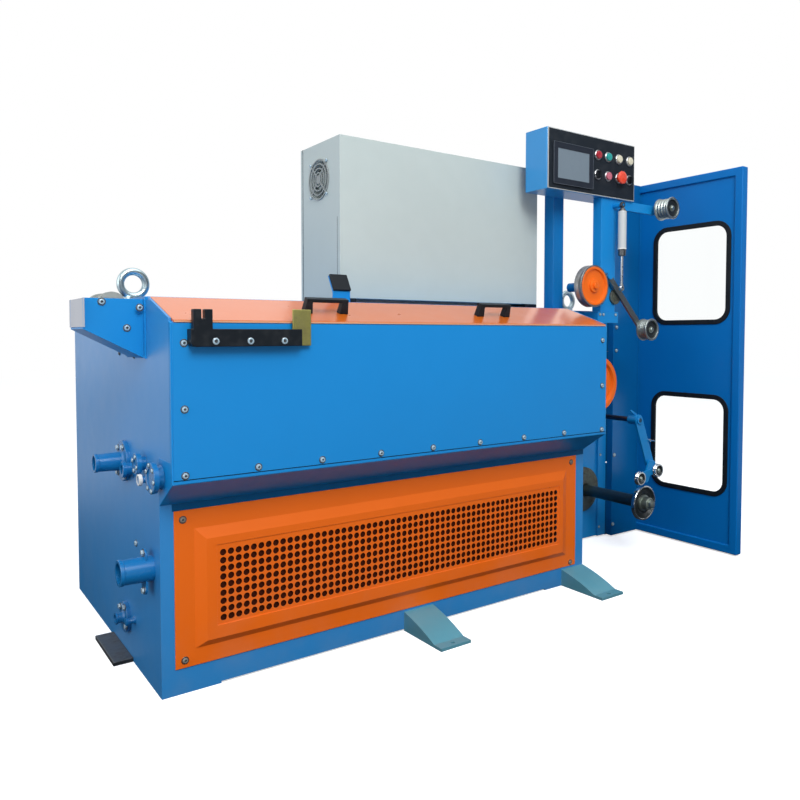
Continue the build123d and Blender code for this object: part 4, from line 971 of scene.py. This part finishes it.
# A row without a finish is bright steel screws, and without a body it is on the frame
screwRows = {
    "frontPanelScrews": {
        "shape": "button", "facing": "front",
        "places": (
            (0.031, -0.102, 0.879), (0.031, -0.102, 0.724), (0.031, -0.102, 0.568),
            (0.215, -0.102, 0.570), (0.395, -0.102, 0.570), (0.580, -0.102, 0.570),
            (0.762, -0.102, 0.569), (0.943, -0.102, 0.569), (1.129, -0.102, 0.569),
            (1.315, -0.102, 0.569), (1.506, -0.102, 0.878), (1.506, -0.102, 0.720),
            (1.506, -0.102, 0.566),
        ),
    },
    "coverScrews": {
        "shape": "button", "facing": "front", "finish": "stainedSteel",
        "places": (
            (0.056, -0.003, 0.440), (0.058, -0.003, 0.085), (1.462, -0.003, 0.441), (1.462, -0.003, 0.078),
        ),
    },
    "guideBarScrews": {
        "shape": "cap", "facing": "front",
        "places": ((0.098, -0.130, 0.883), (0.185, -0.130, 0.883), (0.275, -0.130, 0.883)),
    },
    "bracketBolts": {
        "shape": "button", "facing": "front",
        "places": ((-0.102, 0.105, 0.979), (-0.015, 0.091, 0.966), (-0.043, 0.105, 0.915)),
    },
    "bracketStuds": {
        "shape": "small", "facing": "left", "finish": "darkSteel",
        "places": ((-0.0005, 0.352, 0.846), (-0.0005, 0.272, 0.843), (-0.0005, 0.203, 0.841)),
    },
    "pedestalScrews": {
        "shape": "small", "facing": "front",
        "places": ((1.675, 0.050, 0.974), (1.694, 0.050, 0.974), (1.765, 0.050, 0.974)),
    },
    "edgeStripScrews": {
        "shape": "small", "facing": "front",
        "places": ((2.034, 0.338, 0.366), (2.030, 0.338, 0.045)),
    },
    "guardReturnScrews": {
        "shape": "button", "facing": "front", "body": "guard",
        "places": (
            (2.090, 0.307, 0.364), (2.085, 0.307, 0.055), (2.096, 0.307, 0.929),
            (2.096, 0.307, 0.827),
        ),
    },
    "endScrew": {
        "shape": "button", "facing": "left",
        "places": ((0.0, 0.210, 0.340),),
    },
    "supplyBolts": {
        "shape": "hex", "facing": "left",
        "places": (
            (-0.012, 0.337, 0.583), (-0.012, 0.288, 0.589), (-0.012, 0.262, 0.514),
            (-0.012, 0.340, 0.513),
        ),
    },
    "frontPortBolts": {
        "shape": "small", "facing": "left",
        "places": (
            (-0.026, 0.015, 0.567), (-0.026, -0.008, 0.585), (-0.026, -0.036, 0.576),
            (-0.026, -0.045, 0.549),
            (-0.026, -0.026, 0.525), (-0.026, 0.003, 0.528),
        ),
    },
    "middlePortBolts": {
        "shape": "small", "facing": "left",
        "places": (
            (-0.026, 0.136, 0.577), (-0.026, 0.100, 0.563), (-0.026, 0.112, 0.588), (-0.026, 0.124, 0.552),
        ),
    },
    "outletBolts": {
        "shape": "hex", "facing": "left",
        "places": ((-0.0205, 0.070, 0.353), (-0.0205, 0.070, 0.257)),
    },
    "drainBolts": {
        "shape": "hex", "facing": "left",
        "places": ((-0.012, 0.339, 0.132), (-0.012, 0.292, 0.142), (-0.012, 0.277, 0.094)),
    },
}


def makeScrew(name, shape, facing):
    plan = screwShapes[shape]
    head, rise, base = plan["head"], plan["rise"], plan["washerRise"]
    profile = [(0.0, head), (base, head)]
    if shape == "hex":
        profile += [(base + rise * 0.85, head), (base + rise, head * 0.84)]
    else:
        # A domed head
        profile += [(base + rise * 0.45, head * 0.96), (base + rise * 0.85, head * 0.80)]
        profile += [(base + rise, head * 0.58)]
    if plan["socket"]:
        profile += [(base + rise, plan["socket"]), (base * 0.5, plan["socket"] * 0.9)]
    screw = turned(name, profile, sides=6 if shape == "hex" else 16, smooth=28)
    return turnTo(screw, facing, (0, 0, 0))


def makeWasher(name, shape, facing):
    plan = screwShapes[shape]
    outer, inner, rise = plan["washer"], plan["head"] * 0.8, plan["washerRise"]
    profile = [
        (-0.0004, inner), (-0.0004, outer), (rise * 0.7, outer), (rise, outer - 0.0003), (rise, inner),
        (-0.0004, inner),
    ]
    washer = turned(name, profile, sides=20, closed=True)
    if plan["socket"]:
        # A dark disc at the bottom of the head's socket: painted shade
        radius = plan["socket"] * 0.8
        floor = turned("socketShadeDisc", [(-0.0002, radius), (rise * 0.5 + 0.0004, radius)], sides=12)
        washer = joined([washer, floor], name)
    return turnTo(washer, facing, (0, 0, 0))


def makeScrews():
    for name, row in screwRows.items():
        body = row.get("body", "frame")
        screws = copied(makeScrew(name, row["shape"], row["facing"]), row["places"])
        settle(screws, row.get("finish", "screwSteel"), body)
        # Dark steel washers; their dark ring round each head is partly painted shadow
        washers = copied(makeWasher(name + "Washers", row["shape"], row["facing"]), row["places"])
        settle(washers, "darkSteel", body)


# Guide wheel: an orange dished disc in a steel rim

guideWheel = {
    "disc": (
        (-0.0075, 0.0065), (-0.0075, 0.0095), (-0.0060, 0.0110), (0.0, 0.0110), (0.0, 0.0215),
        (0.0012, 0.0235),
        (0.0070, 0.0250), (0.0085, 0.0300), (0.0085, 0.0540), (0.0070, 0.0590), (0.0008, 0.0620),
        (0.0, 0.0640),
        (0.0, 0.0700), (0.0010, 0.0712), (0.0340, 0.0712), (0.0350, 0.0690), (0.0350, 0.0640),
        (0.0260, 0.0600), (0.0260, 0.0260), (0.0350, 0.0240), (0.0350, 0.0180),
    ),
    "rim": (
        (0.0008, 0.0711), (0.0002, 0.0730), (0.0008, 0.0762), (0.0020, 0.0770), (0.0075, 0.0770),
        (0.0175, 0.0728),
        (0.0275, 0.0770), (0.0330, 0.0770), (0.0342, 0.0762), (0.0348, 0.0730), (0.0342, 0.0711),
        (0.0175, 0.0705), (0.0008, 0.0711),
    ),
}


def makeGuideWheel():
    place = frontCentreOf("guide_wheel")
    disc = turned("guideWheelDisc", guideWheel["disc"], "back", place, sides=72)
    settle(disc, "orangePaint", "wheel", ["guide_wheel"])
    rim = turned("guideWheelRim", guideWheel["rim"], "back", place, sides=72, closed=True)
    settle(rim, "wornSteel", "wheel")


# Grooved rollers of the dancer and the upper arm

wireRollers = {
    "dancer_roller": {"body": "dancer_pulley", "name": "dancerRoller"},
    "upper_roller": {"body": "upper_pulley", "name": "upperRoller"},
}

rollerShape = {
    "rim": 0.043, "edge": 0.0015, "flange": 0.0045, "body": 0.0395, "grooves": 4, "groove": 0.0035,
    "dish": 0.0335, "depth": 0.0085,
    "dishProfile": (
        (0.0070, 0.0130), (0.0070, 0.0190), (0.0064, 0.0240), (0.0078, 0.0300), (0.0078, 0.0334),
        (0.0090, 0.0334),
    ),
    "hubProfile": (
        (-0.0006, 0.0040), (-0.0006, 0.0082), (0.0004, 0.0092), (0.0040, 0.0096), (0.0048, 0.0125),
        (0.0080, 0.0128),
    ),
}


def makeWireRollers():
    plan = rollerShape
    for node, use in wireRollers.items():
        low, high = spanOf(node)
        place = frontCentreOf(node)
        width = high.y - low.y
        rim, edge, flange, body = plan["rim"], plan["edge"], plan["flange"], plan["body"]
        pitch = (width - 2 * flange) / plan["grooves"]
        tread = [(flange, rim)]
        for step in range(plan["grooves"]):
            start = flange + step * pitch
            tread.append((start + pitch * 0.12, body))
            tread.append((start + pitch * 0.40, body - plan["groove"]))
            tread.append((start + pitch * 0.60, body - plan["groove"]))
            tread.append((start + pitch * 0.88, body))
        tread.append((width - flange, rim))
        profile = [
            (plan["depth"], plan["dish"] - 0.006), (plan["depth"], plan["dish"]),
            (0.0012, plan["dish"] + 0.0006),
            (0.0, plan["dish"] + 0.0020), (0.0, rim - edge), (edge, rim), *tread, (width - edge, rim),
            (width, rim - edge), (width, plan["dish"]),
        ]
        roller = turned(use["name"], profile, "back", place, sides=64)
        settle(roller, "rollerSteel", use["body"], [node])
        dish = turned(use["name"] + "Dish", plan["dishProfile"], "back", place, sides=48)
        settle(dish, "darkDish", use["body"])
        hub = turned(use["name"] + "Hub", plan["hubProfile"], "back", place, sides=32)
        settle(hub, "hubSteel", use["body"])


# Wire guide rollers at the foot of the traverse arm

guideRollers = {
    "upper_wire_roller": {"body": "upper_guide", "name": "upperGuideRoller"},
    "lower_wire_roller": {"body": "lower_guide", "name": "lowerGuideRoller"},
}

guideRollerShape = {
    "rim": (
        (0.0, 0.0205), (0.0, 0.0250), (0.0012, 0.0260), (0.0050, 0.0260), (0.0070, 0.0235),
        (0.0085, 0.0225),
        (0.0100, 0.0235), (0.0120, 0.0260), (0.0158, 0.0260), (0.0170, 0.0250), (0.0170, 0.0205),
        (0.0, 0.0205),
    ),
    "dish": ((0.0060, 0.0060), (0.0060, 0.0100), (0.0075, 0.0206), (0.0120, 0.0206)),
    "hub": (
        (-0.0005, 0.0030), (-0.0005, 0.0058), (0.0008, 0.0068), (0.0040, 0.0070), (0.0042, 0.0090),
        (0.0066, 0.0092),
    ),
}


def makeGuideRollers():
    plan = guideRollerShape
    for node, use in guideRollers.items():
        place = frontCentreOf(node)
        rim = turned(use["name"], plan["rim"], "back", place, sides=48, closed=True)
        settle(rim, "chrome", use["body"], [node])
        dish = turned(use["name"] + "Dish", plan["dish"], "back", place, sides=40)
        settle(dish, "darkDish", use["body"])
        hub = turned(use["name"] + "Hub", plan["hub"], "back", place, sides=24)
        settle(hub, "hubSteel", use["body"])


# Traverse rod with the arm that carries the wire guide rollers

traverse = {
    "rod": ((0.0120, 0.0060), (0.0120, 0.0085), (0.0130, 0.0095), (0.0190, 0.0100), (0.3480, 0.0100)),
    "rodHead": ((0.0125, 0.0110), (0.0125, 0.0150), (0.0135, 0.0160), (0.0182, 0.0160), (0.0182, 0.0100)),
    "boss": (
        (0.0262, 0.0101), (0.0262, 0.0170), (0.0600, 0.0180), (0.0630, 0.0172), (0.0630, 0.0101),
        (0.0262, 0.0101),
    ),
    "arm": ((1.8760, 0.5610), (1.9470, 0.3900), 0.044, (0.0180, 0.0262)),
    "yoke": ((1.8420, 0.3400), (1.9530, 0.3600), 0.026, (-0.0052, 0.0010)),
    "drop": ((1.9240, 0.3860), (1.8990, 0.3300), 0.030, (-0.0030, 0.0040)),
    "tab": ((1.8530, 0.5972), (1.8900, 0.5750), 0.009, (0.0360, 0.0420)),
    "spacer": ((0.0, 0.0050), (0.0, 0.0150), (0.0010, 0.0160), (0.0200, 0.0160)),
    "spacerPlace": (1.9440, 0.0005, 0.3820),
    "pin": ((-0.0140, 0.0012), (-0.0136, 0.0020), (0.0060, 0.0024), (0.0070, 0.0050), (0.0185, 0.0052)),
    "pinPlace": (1.9328, 0.0, 0.4784),
}


def strap(name, plan):
    # A flat bar with rounded ends between two places of the X-Z plane
    (startX, startZ), (endX, endZ), width, (front, back) = plan
    half = width / 2
    length = hypot(endX - startX, endZ - startZ)
    bar = roundedSlab(name, (-half, front, -half), (length + half, back, half), 1, half * 0.96, 0.0010)
    bar.rotation_euler = (0, -atan2(endZ - startZ, endX - startX), 0)
    bar.location = (startX, 0, startZ)
    return applyPlace(bar)


def makeTraverse():
    plan = traverse
    middle = middleOf("traverse_rod")
    place = (middle.x, 0, middle.z)
    rod = turned("traverseRod", plan["rod"], "back", place, sides=32)
    settle(rod, "rodSteel", "frame", ["traverse_rod"])
    boss = turned("traverseBoss", plan["boss"], "back", place, sides=32, closed=True)
    spacer = turned("traverseSpacer", plan["spacer"], "back", plan["spacerPlace"], sides=24)
    parts = [boss, spacer] + [strap(name, plan[name]) for name in ("arm", "yoke", "drop", "tab")]
    settle(joined(parts, "traverseArm"), "armBlue", "carriage", ["traverse_carriage"])
    head = turned("traverseHead", plan["rodHead"], "back", place, sides=24)
    settle(head, "armBlue", "carriage")
    pin = turned("wirePin", plan["pin"], "back", plan["pinPlace"], sides=16)
    settle(pin, "chrome", "carriage")


# Dancer arm with its pivot and the bearing behind it

dancerArm = {
    "bar": ((1.7140, 1.1200), (1.9190, 0.9170), 0.024, (0.0398, 0.0496)),
    "pivot": (1.7140, 0.0, 1.1200),
    "cap": ((0.0345, 0.0050), (0.0345, 0.0088), (0.0355, 0.0100), (0.0399, 0.0100)),
    "end": (1.9190, 0.0, 0.9170),
    "shaft": ((-0.0046, 0.0040), (-0.0046, 0.0060), (-0.0036, 0.0070), (0.0400, 0.0070)),
    "bearingPlace": (1.7668, 0.0, 1.0427),
    "bearing": (
        (0.0505, 0.0080), (0.0505, 0.0130), (0.0520, 0.0140), (0.0520, 0.0190), (0.0510, 0.0200),
        (0.0510, 0.0270),
        (0.0525, 0.0285), (0.0602, 0.0285),
    ),
}


def makeDancerArm():
    plan = dancerArm
    bar = strap("dancerBar", plan["bar"])
    cap = turned("pivotCap", plan["cap"], "back", plan["pivot"], sides=32)
    shaft = turned("rollerShaft", plan["shaft"], "back", plan["end"], sides=24)
    settle(joined([bar, cap, shaft], "dancerArm"), "armSteel", "dancer", ["dancer_arm"])
    bearing = turned("dancerBearing", plan["bearing"], "back", plan["bearingPlace"], sides=48)
    settle(bearing, "castSteel", "frame")


# Gas damper between the upper bracket and the dancer

gasDamper = {
    "barrel": ((1.2215, 0.0140), (1.2225, 0.0155), (1.3640, 0.0155), (1.3660, 0.0140)),
    "cap": (
        (1.1970, 0.0080), (1.1975, 0.0130), (1.1990, 0.0140), (1.2150, 0.0140), (1.2155, 0.0147),
        (1.2200, 0.0147),
        (1.2215, 0.0135),
    ),
    "ring": ((1.2222, 0.0157), (1.2222, 0.0161), (1.2262, 0.0161), (1.2262, 0.0157), (1.2222, 0.0157)),
    "neck": ((1.3655, 0.0130), (1.3700, 0.0125), (1.3760, 0.0090), (1.3790, 0.0060)),
    "rod": ((1.0820, 0.0060), (1.0900, 0.0060), (1.0910, 0.0048), (1.2670, 0.0048)),
    "eyeRadius": 0.0110,
    "eyeHole": 0.0055,
    "eyeHalf": 0.0050,
    "eyeRaise": 0.003,
}


def makeDamper():
    plan = gasDamper
    low, high = spanOf("damper_cylinder")
    x, y = (low.x + high.x) / 2, (low.y + high.y) / 2
    barrel = turned("damperBarrel", plan["barrel"], place=(x, y, 0), sides=40)
    settle(barrel, "damperGrey", "damper", ["damper_cylinder"])
    ring = turned("damperRing", plan["ring"], place=(x, y, 0), sides=40, closed=True)
    settle(ring, "paleRing", "damper")
    cap = turned("damperCap", plan["cap"], place=(x, y, 0), sides=40)
    neck = turned("damperNeck", plan["neck"], place=(x, y, 0), sides=32)
    topEye = high.z - plan["eyeRadius"] + plan["eyeRaise"]
    eye = eyeAround("damperEye", (x, y, topEye))
    settle(joined([cap, neck, eye], "damperEnds"), "darkSteel", "damper")
    rodLow = spanOf("damper_rod")[0].z
    rod = turned("damperRod", plan["rod"], place=(x, y, 0), sides=32)
    foot = eyeAround("damperFoot", (x, y, rodLow + plan["eyeRadius"]))
    settle(joined([rod, foot], "damperRod"), "brightSteel", "plunger", ["damper_rod"])


def eyeAround(name, place):
    plan = gasDamper
    outer, inner, half = plan["eyeRadius"], plan["eyeHole"], plan["eyeHalf"]
    profile = [
        (-half, inner), (-half, outer - 0.001), (-half + 0.001, outer), (half - 0.001, outer),
        (half, outer - 0.001), (half, inner), (-half, inner),
    ]
    return turned(name, profile, "back", place, sides=32, closed=True)


# Take-up capstan and spindle

capstan = {
    "drum": (
        (0.0, 0.0120), (0.0, 0.0260), (0.0030, 0.0280), (0.0120, 0.0300), (0.0120, 0.0860),
        (0.0030, 0.0900),
        (0.0, 0.0920), (0.0, 0.1080), (0.0020, 0.1100), (0.0080, 0.1100), (0.0120, 0.1010),
        (0.0240, 0.0985),
        (0.0360, 0.0985), (0.0480, 0.1010), (0.0520, 0.1100), (0.0580, 0.1100), (0.0600, 0.1080),
        (0.0600, 0.0300),
    ),
    "shaft": ((-0.0060, 0.0080), (-0.0060, 0.0180), (-0.0040, 0.0200), (0.0100, 0.0200), (0.0100, 0.0240),
              (0.0600, 0.0240), (0.0600, 0.0220), (0.2070, 0.0220)),
}

spindle = {
    "face": 0.027,
    "flange": (
        (0.0020, 0.0600), (-0.0062, 0.0620), (-0.0070, 0.0630), (-0.0070, 0.0670), (-0.0055, 0.0685),
        (-0.0020, 0.0690), (0.0075, 0.0690), (0.0085, 0.0680), (0.0085, 0.0590), (0.0020, 0.0600),
    ),
    "dish": (
        (0.0010, 0.0240), (0.0010, 0.0400), (-0.0010, 0.0440), (0.0010, 0.0480), (0.0030, 0.0601),
        (0.0080, 0.0601),
    ),
    "hub": (
        (-0.0300, 0.0160), (-0.0300, 0.0230), (-0.0285, 0.0250), (-0.0060, 0.0260),
        (-0.0040, 0.0320), (0.0015, 0.0330),
    ),
    "nut": (
        (-0.0440, 0.0060), (-0.0440, 0.0120), (-0.0425, 0.0165), (-0.0310, 0.0170),
        (-0.0300, 0.0190), (-0.0290, 0.0190),
    ),
    "shaft": ((0.0060, 0.0200), (0.0085, 0.0330), (0.0300, 0.0330), (0.0310, 0.0240), (0.3200, 0.0240)),
}


def makeTakeup():
    place = frontCentreOf("capstan_wheel")
    drum = turned("capstanDrum", capstan["drum"], "back", place, sides=80)
    settle(drum, "orangePaint", "capstan", ["capstan_wheel"])
    shaft = turned("capstanShaft", capstan["shaft"], "back", place, sides=40)
    settle(shaft, "darkSteel", "capstan")
    middle = middleOf("spindle")
    place = (middle.x, spindle["face"], middle.z)
    flange = turned("spindleFlange", spindle["flange"], "back", place, sides=72, closed=True)
    settle(flange, "chrome", "spindle", ["spindle"])
    dish = turned("spindleDish", spindle["dish"], "back", place, sides=64)
    settle(dish, "darkDish", "spindle")
    hub = turned("spindleHub", spindle["hub"], "back", place, sides=48)
    settle(hub, "hubSteel", "spindle")
    nut = turned("spindleNut", spindle["nut"], "back", place, sides=6, smooth=25)
    settle(nut, "hubSteel", "spindle")
    axle = turned("spindleShaft", spindle["shaft"], "back", place, sides=40)
    settle(axle, "shaftSteel", "spindle")


# Console: fascia, screen and its two rows of controls

controls = {
    "columns": (1.650, 1.708, 1.769, 1.832),
    "rows": (1.567, 1.495),
    "bezel": (
        (-0.0045, 0.0160), (-0.0045, 0.0172), (-0.0035, 0.0184), (0.0, 0.0190), (0.0, 0.0150),
        (-0.0045, 0.0150),
        (-0.0045, 0.0160),
    ),
    "cap": ((-0.0110, 0.0090), (-0.0108, 0.0120), (-0.0096, 0.0140), (-0.0020, 0.0149), (0.0020, 0.0149)),
    "mushroom": (
        (-0.0260, 0.0110), (-0.0255, 0.0190), (-0.0230, 0.0230), (-0.0195, 0.0245), (-0.0150, 0.0235),
        (-0.0135, 0.0145), (0.0, 0.0140),
    ),
    "knob": ((-0.0080, 0.0100), (-0.0080, 0.0135), (-0.0070, 0.0146), (0.0010, 0.0149)),
    "grip": {"wide": 0.0042, "tall": 0.0130, "front": 0.0175, "back": 0.0060},
    "finishes": (
        ("redLamp", "tealLamp", "creamPlastic", "creamPlastic"),
        ("knob", "pinkLamp", "mushroom", "knob"),
    ),
}

fascia = {
    "edge": 0.0026, "proud": 0.0008, "rounding": 0.0006, "screenEdge": 0.0016, "screenRim": 0.0024,
    "ringProud": 0.0007, "ringSunk": 0.002, "ringCorner": 0.003, "ringRounding": 0.0003,
}


def makeConsole():
    low, high = spanOf("console_fascia")
    edge, proud = fascia["edge"], fascia["proud"]
    plate = softBox(
        "consoleFascia", (low.x + edge, low.y - proud, low.z + edge),
        (high.x - edge, high.y, high.z - edge), fascia["rounding"])
    settle(plate, "fasciaDark", "frame")
    rings = []
    for node, width in (("screen_bezel", fascia["screenEdge"]), ("screen_glass", fascia["screenRim"])):
        corner, opposite = spanOf(node)
        rings.append(frameRing(
            "screenRing", (corner.x - width, corner.y - fascia["ringProud"], corner.z - width),
            (opposite.x + width, corner.y + fascia["ringSunk"], opposite.z + width),
            1, fascia["ringCorner"], width * 1.2, fascia["ringRounding"]))
    settle(joined(rings, "screenRings"), "ringGrey", "frame")
    bezels, caps, knobs = [], {}, []
    face = low.y - proud
    for rowHeight, finishRow in zip(controls["rows"], controls["finishes"]):
        for x, finish in zip(controls["columns"], finishRow):
            place = (x, face, rowHeight)
            bezels.append(turned("bezel", controls["bezel"], "back", place, sides=32, closed=True))
            if finish == "mushroom":
                head = turned("stopMushroom", controls["mushroom"], "back", place, sides=40)
                settle(head, "redPlastic", "frame", ["stop_button"])
            elif finish == "knob":
                knobs.append(turned("knobBase", controls["knob"], "back", place, sides=32))
                grip = controls["grip"]
                knobs.append(softBox(
                    "knobGrip", (x - grip["wide"], face - grip["front"], rowHeight - grip["tall"]),
                    (x + grip["wide"], face - grip["back"], rowHeight + grip["tall"])))
            else:
                caps.setdefault(finish, []).append(turned("cap", controls["cap"], "back", place, sides=32))
    settle(joined(bezels, "controlBezels"), "brightSteel", "frame", ["button_bezels"])
    settle(joined(knobs, "selectorKnobs"), "blackPlastic", "frame", ["push_buttons"])
    for finish, group in caps.items():
        settle(joined(group, finish + "Caps"), finish, "frame", ["push_buttons"])


# Cabinet seams as dark strips of painted shade in the gaps, and the fan's screws and hub

cabinetTrim = {
    "seam": 0.0022,
    "proud": 0.0004,
    "sunk": 0.001,
    "rounding": 0.0002,
    "fanScrews": 0.053,
    "fanHub": ((0.0060, 0.0120), (0.0060, 0.0260), (0.0072, 0.0290), (0.0090, 0.0300), (0.0200, 0.0300)),
    "cornerSeam": {"sides": (0.226, 0.2272), "heights": (1.030, 1.270)},
}


def makeCabinetTrim():
    plan = cabinetTrim
    low, high = spanOf("cabinet_body")
    seamBack = high.y + plan["seam"] / 2
    seamFront = high.y - plan["seam"] / 2
    proud, sunk = plan["proud"], plan["sunk"]
    near, far = plan["cornerSeam"]["sides"]
    bottom, top = plan["cornerSeam"]["heights"]
    seams = {
        "seamSide": ((low.x - proud, seamFront, low.z), (low.x + sunk, seamBack, high.z)),
        "seamTop": ((low.x, seamFront, high.z - sunk), (high.x, seamBack, high.z + proud)),
        "seamRight": ((high.x - sunk, seamFront, low.z), (high.x + proud, seamBack, high.z)),
        "cornerSeam": ((low.x - proud, near, bottom), (low.x + sunk, far, top)),
    }
    strips = [softBox(name, *corners, plan["rounding"]) for name, corners in seams.items()]
    settle(joined(strips, "cabinetSeamShadows"), "paintedSeamShade", "frame")
    fan = middleOf("fan_guard")
    reach = plan["fanScrews"]
    screw = makeScrew("fanScrews", "small", "left")
    places = []
    for side in (-1, 1):
        for up in (-1, 1):
            places.append((fan.x - sunk, fan.y + side * reach, fan.z + up * reach))
    settle(copied(screw, places), "screwSteel", "frame")
    hub = turned("fanHub", plan["fanHub"], "right", (low.x, fan.y, fan.z), sides=48)
    settle(hub, "fanPale", "fan")


# Side guard: a thin sheet with folded lips, two windows with rubber seals and clear panes

sideGuard = {
    "sheet": ((2.2580, -0.1720, 0.0080), (2.2620, 0.3370, 1.5620)),
    "lips": (
        ((2.2490, -0.1750, 0.0050), (2.2860, -0.1410, 1.5650)),
        ((2.2493, -0.1500, 0.0052), (2.2857, 0.3378, 0.0390)),
        ((2.2493, -0.1500, 1.5310), (2.2857, 0.3378, 1.5648)),
        ((2.2570, 0.3060, 0.0070), (2.2860, 0.3380, 1.5630)),
    ),
    "lipRounding": 0.0045,
    "sides": (-0.1260, 0.2380),
    "heights": ((0.2260, 0.6490), (0.9400, 1.3640)),
    "seal": {"front": 2.2540, "back": 2.2640, "width": 0.020, "radius": 0.066},
    "pane": {"front": 2.2585, "back": 2.2612, "margin": 0.010},
    "hole": 0.004,
    "cutterSides": (2.25, 2.27),
}


def makeSideGuard():
    plan = sideGuard
    seal, pane = plan["seal"], plan["pane"]
    near, far = plan["sides"]
    sheet = softBox("guardSheet", *plan["sheet"], 0.0003)
    seals, panes = [], []
    for bottom, top in plan["heights"]:
        inset = plan["hole"]
        left, right = plan["cutterSides"]
        cutter = roundedSlab(
            "windowCutter", (left, near + inset, bottom + inset), (right, far - inset, top - inset),
            0, seal["radius"] - inset)
        opening = sheet.modifiers.new("opening", "BOOLEAN")
        opening.operation = "DIFFERENCE"
        opening.object = cutter
        makeOnly(sheet)
        bpy.ops.object.modifier_apply(modifier=opening.name)
        bpy.data.objects.remove(cutter)
        seals.append(frameRing(
            "windowSeal", (seal["front"], near, bottom), (seal["back"], far, top), 0, seal["radius"],
            seal["width"], 0.0014))
        inset = pane["margin"]
        panes.append(roundedSlab(
            "windowPane", (pane["front"], near + inset, bottom + inset),
            (pane["back"], far - inset, top - inset), 0, seal["radius"] - inset))
    makeOnly(sheet)
    bpy.ops.object.shade_flat()
    lips = [softBox("guardLip", low, high, plan["lipRounding"], 4) for low, high in plan["lips"]]
    # The guard's sheet and lips are painted a darker blue, as painted shade
    settle(joined([sheet] + lips, "guardSheet"), "guardBluePaintedShade", "guard", ["guard_panel"])
    settle(joined(seals, "windowSeals"), "rubber", "guard", ["window_seals"])
    settle(joined(panes, "windowPanes"), "clearPane", "guard", ["window_panes"])


# Pipe ports on the left end

ports = {
    "supply": {
        "place": (0.0, 0.304, 0.550),
        "profile": (
            (0.0, 0.0560), (0.0110, 0.0560), (0.0120, 0.0550), (0.0120, 0.0300), (0.0160, 0.0260),
            (0.0740, 0.0240),
            (0.0755, 0.0256), (0.0830, 0.0256), (0.0840, 0.0246), (0.0840, 0.0200),
            (0.0700, 0.0195), (0.0200, 0.0190),
        ),
    },
    "return": {
        "place": (0.0, 0.233, 0.538),
        "profile": (
            (0.0, 0.0230), (0.0040, 0.0230), (0.0060, 0.0170), (0.0200, 0.0170), (0.0210, 0.0215),
            (0.0290, 0.0215),
            (0.0300, 0.0205), (0.0300, 0.0120), (0.0100, 0.0110),
        ),
    },
    "middle": {
        "place": (0.0, 0.118, 0.570),
        "profile": (
            (0.0, 0.0180), (0.0140, 0.0180), (0.0140, 0.0270), (0.0250, 0.0270), (0.0260, 0.0260),
            (0.0260, 0.0110),
            (0.0230, 0.0100),
        ),
    },
    "front": {
        "place": (0.0, -0.014, 0.554),
        "profile": (
            (0.0, 0.0300), (0.0060, 0.0260), (0.0140, 0.0240), (0.0140, 0.0380), (0.0250, 0.0380),
            (0.0260, 0.0370),
            (0.0260, 0.0250), (0.0235, 0.0240),
        ),
    },
    "ring": {
        "place": (0.0, 0.095, 0.532),
        "profile": ((0.0, 0.0120), (0.0060, 0.0090), (0.0140, 0.0090), (0.0150, 0.0110), (0.0230, 0.0110)),
    },
    "outlet": {
        "place": (0.0, 0.070, 0.311),
        "profile": (
            (0.0, 0.0322), (0.0720, 0.0310), (0.0735, 0.0330), (0.0810, 0.0330), (0.0820, 0.0318),
            (0.0820, 0.0255), (0.0600, 0.0250), (0.0200, 0.0240),
        ),
    },
    "drain": {
        "place": (0.0, 0.310, 0.110),
        "profile": (
            (0.0, 0.0420), (0.0110, 0.0420), (0.0120, 0.0410), (0.0120, 0.0180), (0.0160, 0.0145),
            (0.0280, 0.0140),
            (0.0290, 0.0165), (0.0340, 0.0165), (0.0340, 0.0110), (0.0150, 0.0100),
        ),
    },
    "nozzle": {
        "place": (0.0, 0.235, 0.123),
        "profile": (
            (0.0, 0.0110), (0.0060, 0.0080), (0.0180, 0.0080), (0.0190, 0.0105), (0.0250, 0.0105),
            (0.0260, 0.0060),
        ),
    },
}

portExtras = {
    "plate": ((-0.0205, 0.050, 0.247), (-0.0160, 0.090, 0.363)),
    "plateRadius": 0.018,
    "whiteRing": (
        (0.0160, 0.0115), (0.0160, 0.0145), (0.0200, 0.0152), (0.0245, 0.0145), (0.0250, 0.0135),
        (0.0250, 0.0108), (0.0160, 0.0108), (0.0160, 0.0115),
    ),
}


def makePorts():
    shapes = []
    for name, plan in ports.items():
        shapes.append(turned(name + "Port", plan["profile"], "left", plan["place"], sides=40))
    shapes.append(roundedSlab("outletPlate", *portExtras["plate"], 0, portExtras["plateRadius"], 0.0008))
    # The ports are painted a darker blue, as painted shade
    settle(joined(shapes, "pipePorts"), "portBluePaintedShade", "frame", ["pipe_fittings"])
    profile = portExtras["whiteRing"]
    ring = turned("portRing", profile, "left", ports["ring"]["place"], sides=32, closed=True)
    settle(ring, "paleRing", "frame")


clearSelection()
dressNodes()
softenFolds()
print("housings dressed")
makeVentCover()
makeFrontSheet()
makeHousingPlates()
makeLidHandles()
makeLidHem()
makeScrews()
print("front and lid pieces in place")
makeGuideWheel()
makeWireRollers()
makeGuideRollers()
makeTraverse()
makeDancerArm()
makeDamper()
makeTakeup()
print("wheels, rollers and damper in place")
makeConsole()
makeCabinetTrim()
print("console and cabinet trimmed")
makeSideGuard()
makePorts()
print("guard and ports in place")
addCamera()
addLamps()
addWorld()
addFloor()
bpy.context.scene.view_settings.view_transform = "Standard"
print("stage set")
